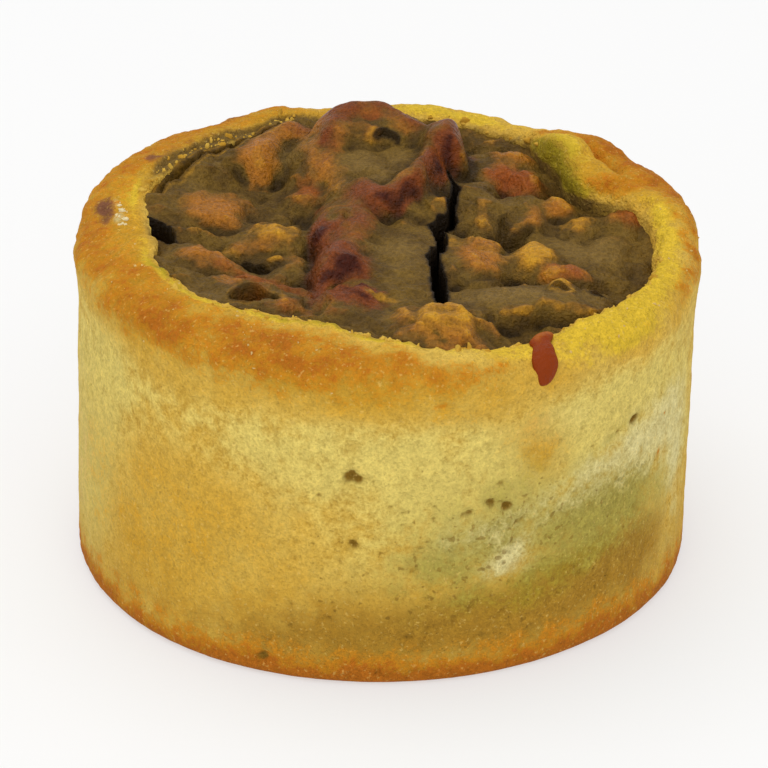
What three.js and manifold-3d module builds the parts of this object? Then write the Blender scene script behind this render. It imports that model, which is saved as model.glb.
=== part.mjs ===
// A deep custard tart that stands on its own: a thick shortcrust case with a
// rolled, uneven rim, and the lumpy baked filling that the case holds.
// Millimetres, +Z up. The origin is on the floor under the middle of the tart,
// -Y is the front and +X the right. Angles are degrees from +X towards +Y.
import * as THREE from "three";
import { mergeVertices } from "three/addons/utils/BufferGeometryUtils.js";
import Module from "manifold-3d";

const wasm = await Module();
wasm.setup();

// Driving dimensions of the case
const BASE_RADIUS = 40;
const LEAN = 0.0233; // the tart leans to the right, by this much for each millimetre of height
const LEAN_PIVOT = 31.9; // height at which the lean moves nothing
const RIM_HEIGHT = 45.6; // height of the rim's crest at the front
const RIM_FALL = 1.45; // the crest is this much lower at the right, and higher at the left
const FOOT_RADIUS = 1.4; // rounding of the lower edge
const LIP_HEIGHT = 8; // how much of the wall's top belongs to the rolled lip
const LIP_OVERHANG = 0.5; // the lip stands out past the wall by this much
const LIP_DROP = 3.6; // the lip is widest this far under its crest
const CREST_SHARE = 0.28; // where the crest is on the rim's width, from inside
const EDGE_DROP = 0.7; // the lip's inner edge is this far under its crest
const CAVITY_RADIUS = 33; // inside of the case
const CAVITY_SHIFT = 2.6; // the inside sits this far to the right of the middle
const FLOOR_THICKNESS = 6;
const FLOOR_FILLET = 3;

// Driving dimensions of the filling
const FILLING_GAP = 0.3; // room between filling and case
const LEVEL_HEIGHT = 42.4; // filling level half way between its middle and the case
const LEVEL_DOME = 0.5; // the middle stands this much higher
const LEVEL_TILT = 0.05; // fall towards the right, for each millimetre
const BORDER_START = 0.72; // share of the way out where the level starts to follow the rim
const BORDER_END = 0.99;
const MOAT_START = 0.84; // share of the way out where the hollows against the case start
const MOAT_END = 0.97;
const LUMP_FADE = 0.7; // share of their height that the lumps lose at the case
const SOFTNESS = 0.25; // how softly neighbouring lumps run together
const ROLL_ENDS = 0.1; // share of its height that a roll keeps at its ends
const STEP_WIDTH = 0.5; // half width of a ledge's step
const CUT_REACH = 1; // how far a ledge's cut reaches

// The run of sauce over the rim
const SAUCE_ANGLE = -59;
const SAUCE_RADIUS = 2.1;
const SAUCE_SINK = 1.1; // how deep its middle line lies in the pastry

// Resolution
const CASE_SEGMENTS = 96;
const FILLING_SEGMENTS = 96;
const FILLING_CELLS = 78; // cells along each side of the filling's top
const LIP_STEPS = 5;
const ROUTE_STEPS = 3; // straight pieces between two points of a route

// Bumps round the rim: where, half width, and how far the crest rises there
const RIM_RISES = [
  { at: 148, half: 16, by: 1.0 },
  { at: 114, half: 8, by: 1.2 },
  { at: 100, half: 8, by: -0.5 },
  { at: 80, half: 9, by: 0.5 },
  { at: 62, half: 8, by: -0.7 },
  { at: 40, half: 12, by: 2.6 },
  { at: 24, half: 8, by: 0.9 },
  { at: 14, half: 11, by: 1.7 },
  { at: -62, half: 14, by: -0.7 },
  { at: -115, half: 30, by: 0.3 },
  { at: 178, half: 12, by: -0.5 },
];

// Places where the inside of the case stands in (minus) or out (plus)
const INSIDE_FOLDS = [
  { at: 29, half: 18, by: -7.6 }, // the pastry folded in at the back right
  { at: -105, half: 17, by: -2.6 }, // the thick front of the rim
  { at: -139, half: 9, by: 1.3 },
  { at: -78, half: 8, by: 1.2 }, // where the filling laps onto the rim
  { at: 165, half: 12, by: 1.6 },
  { at: -156, half: 8, by: 1.6 },
  { at: -69, half: 6, by: 1.0 },
  { at: -92, half: 6, by: 0.7 },
  { at: -5, half: 14, by: -1.0 },
];

// How much further the inner edge drops there
const EDGE_DROPS = [
  { at: 30, half: 20, by: 3.8 },
  { at: -12, half: 26, by: 1.8 },
];

// How far under the rim's crest the filling ends round the case
const BORDER_DROPS = [
  { at: 180, half: 40, by: 0.5 },
  { at: -130, half: 30, by: 0.6 },
  { at: -95, half: 20, by: 0.6 },
  { at: -60, half: 18, by: 1.3 },
  { at: -25, half: 22, by: 2.6 },
  { at: 10, half: 20, by: 3.2 },
  { at: 34, half: 14, by: 4.6 },
  { at: 62, half: 10, by: 1.2 },
  { at: 88, half: 24, by: 0.4 },
  { at: 135, half: 30, by: 0.1 },
];

// Hollows that the filling has against the case
const MOATS = [
  { at: 34, half: 18, by: 1.4 },
  { at: 5, half: 18, by: 0.7 },
  { at: -20, half: 16, by: 0.6 },
];

// Lumps of the filling: middle, half sizes along and across, height over the
// level, turn in degrees, squareness of the outline (2 is an ellipse) and
// steepness of the sides (1 is a parabola, less is steeper)
const LUMPS = [
  { name: "left shoulder", x: -22.8, y: 6.5, a: 7, b: 6.4, h: 2.1 },
  { name: "back left bank", x: -24.5, y: 17.6, a: 5.4, b: 5.6, h: 1, turn: 40 },
  { name: "back left knob", x: -16.3, y: 20, a: 4.8, b: 4.8, h: 2.6 },
  { name: "brown knob", x: -10.3, y: 10.4, a: 4.4, b: 4.4, h: 2.2 },
  { name: "middle left knob", x: -14.6, y: -2, a: 6.4, b: 4.8, h: 2.4 },
  { name: "small olive lump", x: -24.7, y: -1.9, a: 4.4, b: 3, h: 1.2, turn: -10 },
  { name: "brown roll", x: -22.8, y: -9, a: 6, b: 3.2, h: 2, turn: -15 },
  { name: "front pillow", x: -16.5, y: -19, a: 11, b: 6.4, h: 2.3, turn: -12 },
  { name: "left nub", x: -30.2, y: 6, a: 2.8, b: 2.6, h: 2, steep: 0.7 },
  { name: "middle block", x: -0.4, y: -2, a: 9.2, b: 27, h: 3, square: 5, steep: 0.5 },
  { name: "upper block", x: -0.6, y: 15, a: 9.8, b: 13, h: 5, square: 3, steep: 0.7 },
  { name: "top crest", x: -1.4, y: 24.6, a: 8.8, b: 6.6, h: 7.6, square: 3, steep: 0.6 },
  { name: "crest knob", x: 8.2, y: 21.6, a: 3.4, b: 4.6, h: 6.4, square: 2.2, steep: 0.6 },
  { name: "right pillow", x: 6.2, y: 12.8, a: 3.8, b: 5, h: 4.6, steep: 0.8 },
  { name: "small right pillow", x: 6.6, y: 4.6, a: 3, b: 4.6, h: 3.8, steep: 0.7 },
  { name: "brown shoulder", x: -6, y: -1, a: 4.6, b: 7.4, h: 4.1, square: 2.2, steep: 0.8 },
  { name: "dark shoulder", x: -5.5, y: -12.8, a: 4.8, b: 6.4, h: 3.6, square: 2.2, steep: 0.8 },
  { name: "bottom pillow", x: -4.5, y: -21.6, a: 6.4, b: 4.2, h: 3.1, steep: 0.7 },
  { name: "smooth strip", x: 3.4, y: -8, a: 3.6, b: 10, h: 3.3, square: 2.4, steep: 0.8 },
  { name: "back crumbs", x: 14.2, y: 29, a: 5, b: 4.4, h: 2.6 },
  { name: "red knob", x: 16.5, y: 19.7, a: 7, b: 7, h: 4 },
  { name: "olive lump", x: 11.6, y: 8.6, a: 4.2, b: 8, h: 3.4, square: 2.4, steep: 0.6 },
  { name: "olive neighbour", x: 18, y: 7.7, a: 4.4, b: 7, h: 3, square: 2.4, steep: 0.6 },
  { name: "orange knob", x: 22.2, y: 9.1, a: 3.6, b: 3.8, h: 3, steep: 0.9 },
  { name: "yellow knob", x: 24.9, y: 5, a: 3.8, b: 3.4, h: 2.2, steep: 0.9 },
  { name: "right nub", x: 31, y: 6.2, a: 3.8, b: 3.6, h: 3 },
  { name: "right slope", x: 25, y: -3.4, a: 9.4, b: 8.4, h: 1.2, square: 2.6 },
  { name: "smooth knob", x: 18.5, y: -6.5, a: 4.6, b: 5.4, h: 3.3 },
  { name: "crag", x: 11, y: -7.6, a: 5, b: 8, h: 3.1, square: 2.4, steep: 0.6 },
  { name: "red blob", x: 22.5, y: -10.2, a: 4.6, b: 3.4, h: 3.4, steep: 0.8 },
  { name: "blister", x: 21.7, y: -16.4, a: 2.3, b: 2.4, h: 3.8, steep: 0.7 },
  { name: "front lip", x: 18.4, y: -19.4, a: 13, b: 5.6, h: 3.3, turn: 9, square: 2.6, steep: 0.6 },
  { name: "front flap", x: 6.8, y: -27.8, a: 6.8, b: 6, h: 3.8, square: 2.8, steep: 0.5 },
];

// Rolls of wrinkled skin on the filling: route, half width and height
const ROLLS = [
  {
    name: "ring of skin",
    route: [[-18, 15], [-16.8, 20], [-14.5, 24.4], [-11.5, 26], [-9.6, 22], [-8.6, 16], [-8, 10.5]],
    width: 2.8,
    height: 0.9,
  },
  {
    name: "top roll",
    route: [[-7.9, 15.4], [-7.5, 21.8], [-5.4, 25.7], [-2.2, 26.6], [0.9, 24.9], [4.2, 23.2], [7.5, 22.7]],
    width: 2.8,
    height: 0.8,
  },
  {
    name: "long roll",
    route: [[9.3, 23.6], [6.8, 17.8], [4.4, 12.8], [2.1, 7.5], [-0.5, 3.6], [-2.9, 3.8], [-4.2, 6.8]],
    width: 2.6,
    height: 1.6,
  },
  {
    name: "short roll",
    route: [[-4.7, 6.6], [-3.4, 1.7], [-4.2, -3.4], [-5.6, -8.8], [-7.5, -11.8]],
    width: 2.4,
    height: 0.8,
  },
];

// Ledges in the skin, high on the left of their route: rise, how far the rise
// reaches, and the cut on the low side
const LEDGES = [
  { route: [[6, 20], [3.4, 14.8], [1, 9.6], [-0.8, 6.4], [-2.4, 6], [-3.4, 8]], rise: 0.5, reach: 2, cut: 1 },
  { route: [[-9.1, 4.7], [-9.5, -3.4], [-9.3, -12.2], [-9.1, -21.1]], rise: 0.2, reach: 1, cut: 1.2 },
  { route: [[-25.7, 3.6], [-23, 2], [-19.4, 1], [-17, 1.6]], rise: 0.4, reach: 2, cut: 0.9 },
  { route: [[-20.4, -6], [-17.9, -7.3], [-15.3, -8.5], [-11.6, -7.6]], rise: 0.4, reach: 2, cut: 1.2 },
  { route: [[8.3, 0.9], [11.9, -0.6], [15.2, -0.1], [18.5, 2.5]], rise: 0.4, reach: 2, cut: 1.8 },
  { route: [[19.4, -9.8], [14.3, -12.6], [10.4, -14.5], [6.9, -18.2]], rise: 0.3, reach: 1.6, cut: 0.9 },
  { route: [[11.9, -22.9], [14.6, -24.5], [17.8, -23.6], [25.4, -21.1]], rise: 0.6, reach: 2.4, cut: 2 },
  { route: [[-2.1, -15.9], [-5.1, -17], [-7.4, -18.2], [-9.2, -20.3]], rise: 0.3, reach: 1.4, cut: 1 },
];

// Splits in the filling: route, half widths along it, depth under the level
const SPLITS = [
  {
    name: "long split",
    route: [[8.3, 14.5], [8, 6], [7.9, 1.2], [7, -1], [6.4, -4.4], [6.7, -9.2], [6, -13.4], [5.9, -18.5]],
    halves: [0.3, 0.4, 0.5, 0.9, 0.7, 0.6, 0.8, 0.5],
    depth: 10,
  },
  {
    name: "left hole",
    route: [[-30.4, -0.4], [-30, -2.6], [-29.2, -4.8]],
    halves: [1, 1.9, 1],
    depth: 9,
  },
  {
    name: "blowhole",
    route: [[-19.4, -21.6], [-17, -21.2], [-14.6, -21.7]],
    halves: [0.5, 1.6, 0.6],
    depth: 4,
  },
];

const DEGREE = Math.PI / 180;

// A bell curve, 1 at the middle, over an angle that wraps round.
function bell(angle, { at, half }) {
  const away = THREE.MathUtils.euclideanModulo(angle - at + 180, 360) - 180;
  return Math.exp(-((away / half) ** 2));
}

// The sum of a list of bells at one angle.
function bells(list, angle) {
  return list.reduce((sum, one) => sum + one.by * bell(angle, one), 0);
}

// The mean of a list of values at one angle, each weighted by its bell.
function bellMean(list, angle) {
  return bells(list, angle) / list.reduce((sum, one) => sum + bell(angle, one), 0);
}

const crestHeight = (angle) => RIM_HEIGHT - RIM_FALL * Math.cos(angle * DEGREE) + bells(RIM_RISES, angle);
const insideRadius = (angle) =>
  CAVITY_RADIUS + CAVITY_SHIFT * Math.cos(angle * DEGREE) + bells(INSIDE_FOLDS, angle);

// The case's outline at one angle, from the middle of the base, up the wall,
// over the rim and down to the middle of the floor. x is radius, y is height.
function caseOutline(angle) {
  const crest = crestHeight(angle);
  const inside = insideRadius(angle);
  const edge = crest - EDGE_DROP - bells(EDGE_DROPS, angle);
  const lipFoot = crest - LIP_HEIGHT;
  const lipOut = BASE_RADIUS + LIP_OVERHANG;
  const crestRadius = inside + CREST_SHARE * (BASE_RADIUS - inside);
  const v = (x, y) => new THREE.Vector2(x, y);

  const foot = new THREE.EllipseCurve(
    BASE_RADIUS - FOOT_RADIUS, FOOT_RADIUS, FOOT_RADIUS, FOOT_RADIUS, -Math.PI / 2, 0,
  );
  const wall = new THREE.LineCurve(v(BASE_RADIUS, FOOT_RADIUS), v(BASE_RADIUS, lipFoot));
  const lip = new THREE.CubicBezierCurve(
    v(BASE_RADIUS, lipFoot),
    v(BASE_RADIUS, lipFoot + LIP_HEIGHT * 0.3),
    v(lipOut, crest - LIP_DROP - LIP_HEIGHT * 0.2),
    v(lipOut, crest - LIP_DROP),
  );
  const shoulder = new THREE.CubicBezierCurve(
    v(lipOut, crest - LIP_DROP),
    v(lipOut, crest - LIP_DROP * 0.35),
    v((crestRadius + BASE_RADIUS) / 2, crest),
    v(crestRadius, crest),
  );
  const inner = new THREE.CubicBezierCurve(
    v(crestRadius, crest),
    v((crestRadius * 2 + inside) / 3, crest),
    v(inside, (crest + edge) / 2),
    v(inside, edge),
  );
  const fillet = new THREE.EllipseCurve(
    inside - FLOOR_FILLET, FLOOR_THICKNESS + FLOOR_FILLET, FLOOR_FILLET, FLOOR_FILLET, 0, -Math.PI / 2, true,
  );
  const curves = [
    [foot, 3],
    [wall, 3],
    [lip, 3],
    [shoulder, LIP_STEPS],
    [inner, LIP_STEPS],
    [fillet, 2],
  ];
  const points = [v(0, 0)];
  for (const [curve, steps] of curves) {
    for (const point of curve.getPoints(steps)) {
      if (points.at(-1).distanceTo(point) > 1e-6) points.push(point);
    }
  }
  points.push(v(0, FLOOR_THICKNESS));
  return points;
}

// The height of the filling's level, without its lumps: a low dome that falls to
// the right, and near the case ends a little under the rim's crest.
function fillingLevel(x, y) {
  const angle = Math.atan2(y, x) / DEGREE;
  const out = Math.hypot(x, y) / insideRadius(angle);
  const dome = LEVEL_HEIGHT - LEVEL_TILT * x + LEVEL_DOME * (1 - out ** 2);
  const edge = crestHeight(angle) - bellMean(BORDER_DROPS, angle);
  const ground = THREE.MathUtils.lerp(dome, edge, THREE.MathUtils.smoothstep(out, BORDER_START, BORDER_END));
  return ground - bells(MOATS, angle) * THREE.MathUtils.smoothstep(out, MOAT_START, MOAT_END);
}

// A lump's height over the level at one place.
function lumpHeight({ x: cx, y: cy, a, b, h, turn: degrees = 0, square = 2, steep = 1 }, x, y) {
  const offset = new THREE.Vector2(x - cx, y - cy).rotateAround(new THREE.Vector2(), -degrees * DEGREE);
  const away = Math.abs(offset.x / a) ** square + Math.abs(offset.y / b) ** square;
  return h * Math.max(1 - away, 0) ** steep;
}

// A rounded line through a route's points.
function smoothRoute(route) {
  const curve = new THREE.SplineCurve(route.map(([x, y]) => new THREE.Vector2(x, y)));
  return curve.getPoints((route.length - 1) * ROUTE_STEPS);
}

const rollLines = ROLLS.map((roll) => ({ ...roll, line: smoothRoute(roll.route) }));
const ledgeLines = LEDGES.map((ledge) => ({ ...ledge, line: smoothRoute(ledge.route) }));

// Where a place lies beside a line: its distance, the share of the line passed
// there, and whether it is on the line's left (1) or right (-1).
function follow(line, x, y) {
  const nearest = { away: Infinity, share: 0, side: 1 };
  for (let i = 0; i + 1 < line.length; i++) {
    const run = line[i + 1].clone().sub(line[i]);
    const offset = new THREE.Vector2(x, y).sub(line[i]);
    const t = THREE.MathUtils.clamp(offset.dot(run) / run.lengthSq(), 0, 1);
    offset.addScaledVector(run, -t);
    if (offset.length() < nearest.away) {
      nearest.away = offset.length();
      nearest.share = (i + t) / (line.length - 1);
      nearest.side = Math.sign(run.cross(offset)) || 1;
    }
  }
  return nearest;
}

// The height of the filling's top: the lumps run together on the level, with the
// rolls and the ledges on them.
function fillingTop(x, y) {
  const out = Math.hypot(x, y) / insideRadius(Math.atan2(y, x) / DEGREE);
  const fade = 1 - LUMP_FADE * THREE.MathUtils.smoothstep(out, BORDER_START, BORDER_END);
  const powers = LUMPS.map((lump) => Math.exp(lumpHeight(lump, x, y) / SOFTNESS) - 1);
  const lumps = SOFTNESS * Math.log(1 + powers.reduce((sum, power) => sum + power, 0));
  let height = fillingLevel(x, y) + lumps * fade;
  for (const { line, width, height: rise } of rollLines) {
    const { away, share } = follow(line, x, y);
    const ends = Math.sqrt(THREE.MathUtils.clamp(4 * share * (1 - share), ROLL_ENDS, 1));
    height += rise * ends * Math.exp(-((away / (0.75 * width)) ** 2));
  }
  for (const { line, rise, reach, cut } of ledgeLines) {
    const { away, share, side } = follow(line, x, y);
    const ends = THREE.MathUtils.clamp(6 * share * (1 - share), 0, 1);
    const high = THREE.MathUtils.smoothstep(away * side, -STEP_WIDTH, STEP_WIDTH);
    const lift = rise * high * Math.exp(-((away / reach) ** 2));
    height += ends * (lift - cut * (1 - high) * Math.exp(-((away / CUT_REACH) ** 2)));
  }
  return height;
}

// A lathe whose outline changes as it turns: outlineAt gives the outline's
// points (radius, height) at an angle, with as many points at every angle.
function turn(outlineAt, segments) {
  const geometry = new THREE.LatheGeometry(outlineAt(0), segments);
  const position = geometry.getAttribute("position");
  const count = outlineAt(0).length;
  for (let step = 0; step <= segments; step++) {
    const angle = ((step % segments) * 360) / segments;
    outlineAt(angle).forEach((point, i) => {
      position.setXYZ(
        step * count + i,
        point.x * Math.cos(angle * DEGREE),
        point.x * Math.sin(angle * DEGREE),
        point.y,
      );
    });
  }
  return geometry;
}

// A closed geometry as a solid that can be joined and cut.
function solid(geometry) {
  const bare = new THREE.BufferGeometry();
  bare.setAttribute("position", geometry.getAttribute("position").clone());
  bare.setIndex(geometry.index);
  const merged = mergeVertices(bare, 1e-4);
  const corners = merged.index.array;
  const triVerts = [];
  for (let i = 0; i < corners.length; i += 3) {
    const [a, b, c] = corners.slice(i, i + 3);
    if (a !== b && b !== c && c !== a) triVerts.push(a, b, c);
  }
  return new wasm.Manifold(
    new wasm.Mesh({
      numProp: 3,
      vertProperties: merged.getAttribute("position").array,
      triVerts: new Uint32Array(triVerts),
    }),
  );
}

// A solid back as a geometry with its own normals, leaned to the right.
function geometryOf(made) {
  const { vertProperties, triVerts } = made.getMesh();
  const geometry = new THREE.BufferGeometry();
  geometry.setAttribute("position", new THREE.BufferAttribute(vertProperties, 3));
  geometry.setIndex(new THREE.BufferAttribute(triVerts, 1));
  geometry.applyMatrix4(new THREE.Matrix4().makeShear(0, 0, 0, 0, LEAN, 0));
  geometry.translate(-LEAN * LEAN_PIVOT, 0, 0);
  geometry.computeVertexNormals();
  return geometry;
}

// A split: an upright blade along its route.
function splitOf({ route, halves, depth }) {
  const last = route.length - 1;
  const side = (sign) =>
    route.map(([x, y], i) => {
      const [x0, y0] = route[Math.max(i - 1, 0)];
      const [x1, y1] = route[Math.min(i + 1, last)];
      const push = (sign * halves[i]) / Math.hypot(x1 - x0, y1 - y0);
      return new THREE.Vector2(x - (y1 - y0) * push, y + (x1 - x0) * push);
    });
  const outline = new THREE.Shape([...side(-1), ...side(1).reverse()]);
  const blade = new THREE.ExtrudeGeometry(outline, { depth: 3 * depth, bevelEnabled: false });
  blade.translate(0, 0, LEVEL_HEIGHT - depth);
  return solid(blade);
}

// The run of sauce: a round bar over the rim, from near its inner edge to the lip.
function sauceRun() {
  const outline = caseOutline(SAUCE_ANGLE);
  const crestIndex = outline.findIndex((p) => Math.abs(p.y - crestHeight(SAUCE_ANGLE)) < 1e-6);
  const run = outline.slice(crestIndex - LIP_STEPS, crestIndex + 2);
  const heart = new THREE.Vector2(run.at(-1).x, run[0].y);
  const points = run.map((p) => {
    const inward = heart.clone().sub(p).setLength(SAUCE_SINK);
    const sunk = p.clone().add(inward);
    const angle = SAUCE_ANGLE * DEGREE;
    return new THREE.Vector3(sunk.x * Math.cos(angle), sunk.x * Math.sin(angle), sunk.y);
  });
  const circle = new THREE.Shape().absarc(0, 0, SAUCE_RADIUS, 0, 2 * Math.PI);
  const extrudePath = new THREE.CatmullRomCurve3(points);
  return solid(new THREE.ExtrudeGeometry(circle, { curveSegments: 8, steps: 12, extrudePath }));
}

function pastryCase() {
  return geometryOf(solid(turn(caseOutline, CASE_SEGMENTS)).add(sauceRun()));
}

// The room that the filling has in the case: its outline at one angle.
function drumOutline(angle) {
  const edge = insideRadius(angle) - FILLING_GAP;
  const floor = FLOOR_THICKNESS + FILLING_GAP;
  return [
    new THREE.Vector2(0, floor),
    new THREE.Vector2(edge - FLOOR_FILLET, floor),
    new THREE.Vector2(edge, floor + FLOOR_FILLET),
    new THREE.Vector2(edge, 2 * RIM_HEIGHT),
    new THREE.Vector2(0, 2 * RIM_HEIGHT),
  ];
}

// A block with the filling's top, wider and deeper than the case's inside.
function toppedBlock() {
  const side = 2 * BASE_RADIUS;
  const block = new THREE.BoxGeometry(side, side, RIM_HEIGHT, FILLING_CELLS, FILLING_CELLS, 1);
  const position = block.getAttribute("position");
  for (let i = 0; i < position.count; i++) {
    const x = position.getX(i);
    const y = position.getY(i);
    position.setZ(i, position.getZ(i) > 0 ? fillingTop(x, y) : 0);
  }
  return solid(block);
}

function filling() {
  const body = solid(turn(drumOutline, FILLING_SEGMENTS)).intersect(toppedBlock());
  return geometryOf(SPLITS.reduce((made, split) => made.subtract(splitOf(split)), body));
}

const tart = new THREE.Group();

const caseMesh = new THREE.Mesh(
  pastryCase(),
  new THREE.MeshStandardMaterial({ color: 0xcfa94a, roughness: 0.8, metalness: 0 }),
);
caseMesh.name = "pastry_case";
tart.add(caseMesh);

const fillingMesh = new THREE.Mesh(
  filling(),
  new THREE.MeshStandardMaterial({ color: 0x7d6231, roughness: 0.55, metalness: 0 }),
);
fillingMesh.name = "filling";
tart.add(fillingMesh);

export default tart;
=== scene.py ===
"""A deep custard tart, seen from the front and a little above, on a pale floor.

The tart is a thick shortcrust case with a rolled, uneven rim, and the lumpy
baked filling that it holds. The classes below measure in millimetres and the
meshes are made in metres. Angles are degrees from +X towards +Y, so the front
of the tart is at -90.
"""

import logging
import math
from dataclasses import dataclass, field
from enum import Enum
from functools import cached_property
from itertools import product

import bpy
import numpy as np
from mathutils import Matrix, Vector


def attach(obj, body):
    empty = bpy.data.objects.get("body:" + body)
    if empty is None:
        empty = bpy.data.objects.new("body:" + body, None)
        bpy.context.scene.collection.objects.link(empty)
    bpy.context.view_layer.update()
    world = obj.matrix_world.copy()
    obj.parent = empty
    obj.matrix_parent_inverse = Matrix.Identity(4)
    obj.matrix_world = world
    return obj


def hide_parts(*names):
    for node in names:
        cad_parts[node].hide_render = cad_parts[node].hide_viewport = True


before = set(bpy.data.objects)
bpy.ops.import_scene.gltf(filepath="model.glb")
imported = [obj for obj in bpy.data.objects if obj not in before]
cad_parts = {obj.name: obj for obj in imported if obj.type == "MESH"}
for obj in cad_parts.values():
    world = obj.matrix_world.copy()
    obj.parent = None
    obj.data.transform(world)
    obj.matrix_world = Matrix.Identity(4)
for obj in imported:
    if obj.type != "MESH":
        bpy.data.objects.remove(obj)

LOG = logging.getLogger("tart")
MM = 0.001
BODY = "root"

Colour = tuple[float, float, float]
Marks = dict[str, np.ndarray]
Route = tuple[tuple[float, float], ...]
Socket = bpy.types.NodeSocket
Value = Socket | float | Colour


# Small tools

def smoothstep(low: float, high: float, value: np.ndarray) -> np.ndarray:
    """An S-shaped rise from 0 at low to 1 at high; low may be the larger one.

    Args:
        low: where the rise starts.
        high: where it is complete.
        value: any array of numbers.

    Returns:
        3t^2 - 2t^3 of the share t of the way from low to high, held to 0..1.
    """
    t = np.clip((value - low) / (high - low), 0.0, 1.0)
    return t * t * (3.0 - 2.0 * t)


def smooth_path(points: np.ndarray, per_piece: int = 6) -> np.ndarray:
    """A rounded route through a few points.

    Args:
        points: n points of any dimension.
        per_piece: straight pieces made between two neighbouring points.

    Returns:
        Points of the Catmull-Rom curve: between p1 and p2 it is the cubic whose
        end slopes are (p2 - p0) / 2 and (p3 - p1) / 2.
    """
    padded = np.concatenate([points[:1], points, points[-1:]])
    p0, p1, p2, p3 = (padded[i:len(padded) - 3 + i, None, :] for i in range(4))
    t = np.linspace(0.0, 1.0, per_piece, endpoint=False)[None, :, None]
    curve = 0.5 * (
        2 * p1 + (p2 - p0) * t + (2 * p0 - 5 * p1 + 4 * p2 - p3) * t**2
        + (3 * p1 - p0 - 3 * p2 + p3) * t**3
    )
    return np.concatenate([curve.reshape(-1, points.shape[1]), points[-1:]])


def follow(points: np.ndarray, route: np.ndarray) -> tuple[np.ndarray, np.ndarray, np.ndarray]:
    """Where each point lies beside a route in the plane.

    Args:
        points: array of points, last axis x and y.
        route: the corner points of the route.

    Returns:
        The distance to the nearest straight piece, the share of the route's length
        passed there, and +1 or -1 for the route's left or right side.
    """
    lengths = np.linalg.norm(np.diff(route, axis=0), axis=1)
    passed = np.concatenate([[0.0], np.cumsum(lengths)])
    best = np.full(points.shape[:-1], np.inf)
    share, side = np.zeros_like(best), np.zeros_like(best)
    for i, (start, end) in enumerate(zip(route[:-1], route[1:])):
        run = end - start
        t = np.clip(((points - start) @ run) / max(run @ run, 1e-9), 0.0, 1.0)
        off = points - start - t[..., None] * run
        gap = np.linalg.norm(off, axis=-1)
        closer = gap < best
        best = np.where(closer, gap, best)
        share = np.where(closer, (passed[i] + t * lengths[i]) / passed[-1], share)
        side = np.where(closer, np.sign(run[0] * off[..., 1] - run[1] * off[..., 0]), side)
    return best, share, side


def blurred(values: np.ndarray, reach: int) -> np.ndarray:
    """A grid of values averaged over a square window, twice.

    Args:
        values: two-dimensional grid.
        reach: how many cells the window reaches each way.

    Returns:
        A grid of the same shape, from running sums along each axis.
    """
    size = 2 * reach + 1
    for axis in (0, 1, 0, 1):
        pad = [(reach + 1, reach) if a == axis else (0, 0) for a in (0, 1)]
        sums = np.cumsum(np.pad(values, pad, mode="edge"), axis=axis)
        ahead = np.take(sums, range(size, sums.shape[axis]), axis=axis)
        behind = np.take(sums, range(sums.shape[axis] - size), axis=axis)
        values = (ahead - behind) / size
    return values


def degrees_from(at: float, angle: np.ndarray) -> np.ndarray:
    """How far some angles lie from one, by the short way round: -180 to 180."""
    return (angle - at + 180.0) % 360.0 - 180.0


def turned(x: np.ndarray, y: np.ndarray, turn: float) -> tuple[np.ndarray, np.ndarray]:
    """Places along and across an axis that is turned from x towards y.

    Args:
        x: places along the first axis.
        y: places along the second axis.
        turn: the turn in degrees.

    Returns:
        x cos + y sin, which lies along, and y cos - x sin, which lies across.
    """
    c = math.cos(math.radians(turn))
    s = math.sin(math.radians(turn))
    return x * c + y * s, y * c - x * s


class Grain:
    """Seeded gradient noise in space: smooth rises and dips one wavelength apart."""

    def __init__(self, seed: int) -> None:
        """Draws the table of slopes that the noise is made of.

        Args:
            seed: names the draw.
        """
        draw = np.random.default_rng(seed)
        self._order = draw.permutation(256)
        slopes = draw.normal(size=(256, 3))
        self._slopes = slopes / np.linalg.norm(slopes, axis=1, keepdims=True)

    def at(self, points: np.ndarray, wavelength: float) -> np.ndarray:
        """The noise at some points.

        Args:
            points: array of points in space, millimetres.
            wavelength: distance between rises, millimetres.

        Returns:
            About -1 to 1: each corner of the lattice cell gives its slope times
            the way to the point, and the eight are faded into each other.
        """
        place = points / wavelength
        cell = np.floor(place).astype(int)
        local = place - cell
        fade = local**3 * (local * (local * 6 - 15) + 10)
        total = np.zeros(points.shape[:-1])
        for corner in product((0, 1), repeat=3):
            index = np.zeros(points.shape[:-1], int)
            for axis in range(3):
                index = self._order[(index + cell[..., axis] + corner[axis]) & 255]
            share = np.prod(np.where(corner, fade, 1.0 - fade), axis=-1)
            total += share * np.sum(self._slopes[index] * (local - corner), axis=-1)
        return 1.7 * total

    def layers(self, points: np.ndarray, wavelength: float, count: int) -> np.ndarray:
        """Noise at several wavelengths, each half the last and half as strong.

        Args:
            points: array of points in space, millimetres.
            wavelength: the longest wavelength.
            count: how many are added.

        Returns:
            Their sum.
        """
        return sum(0.5**i * self.at(points + 37.0 * i, wavelength * 0.5**i) for i in range(count))


@dataclass(frozen=True)
class Bell:
    """One bump of a quantity that runs round the tart."""

    at: float
    half: float
    by: float

    def over(self, angle: np.ndarray) -> np.ndarray:
        """The bump's share at some angles: by, times a bell curve that wraps round."""
        return self.by * np.exp(-((degrees_from(self.at, angle) / self.half) ** 2))


def bells(bumps: tuple[Bell, ...], angle: np.ndarray) -> np.ndarray:
    """The sum of several bumps at some angles."""
    return sum(bump.over(angle) for bump in bumps)


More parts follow.
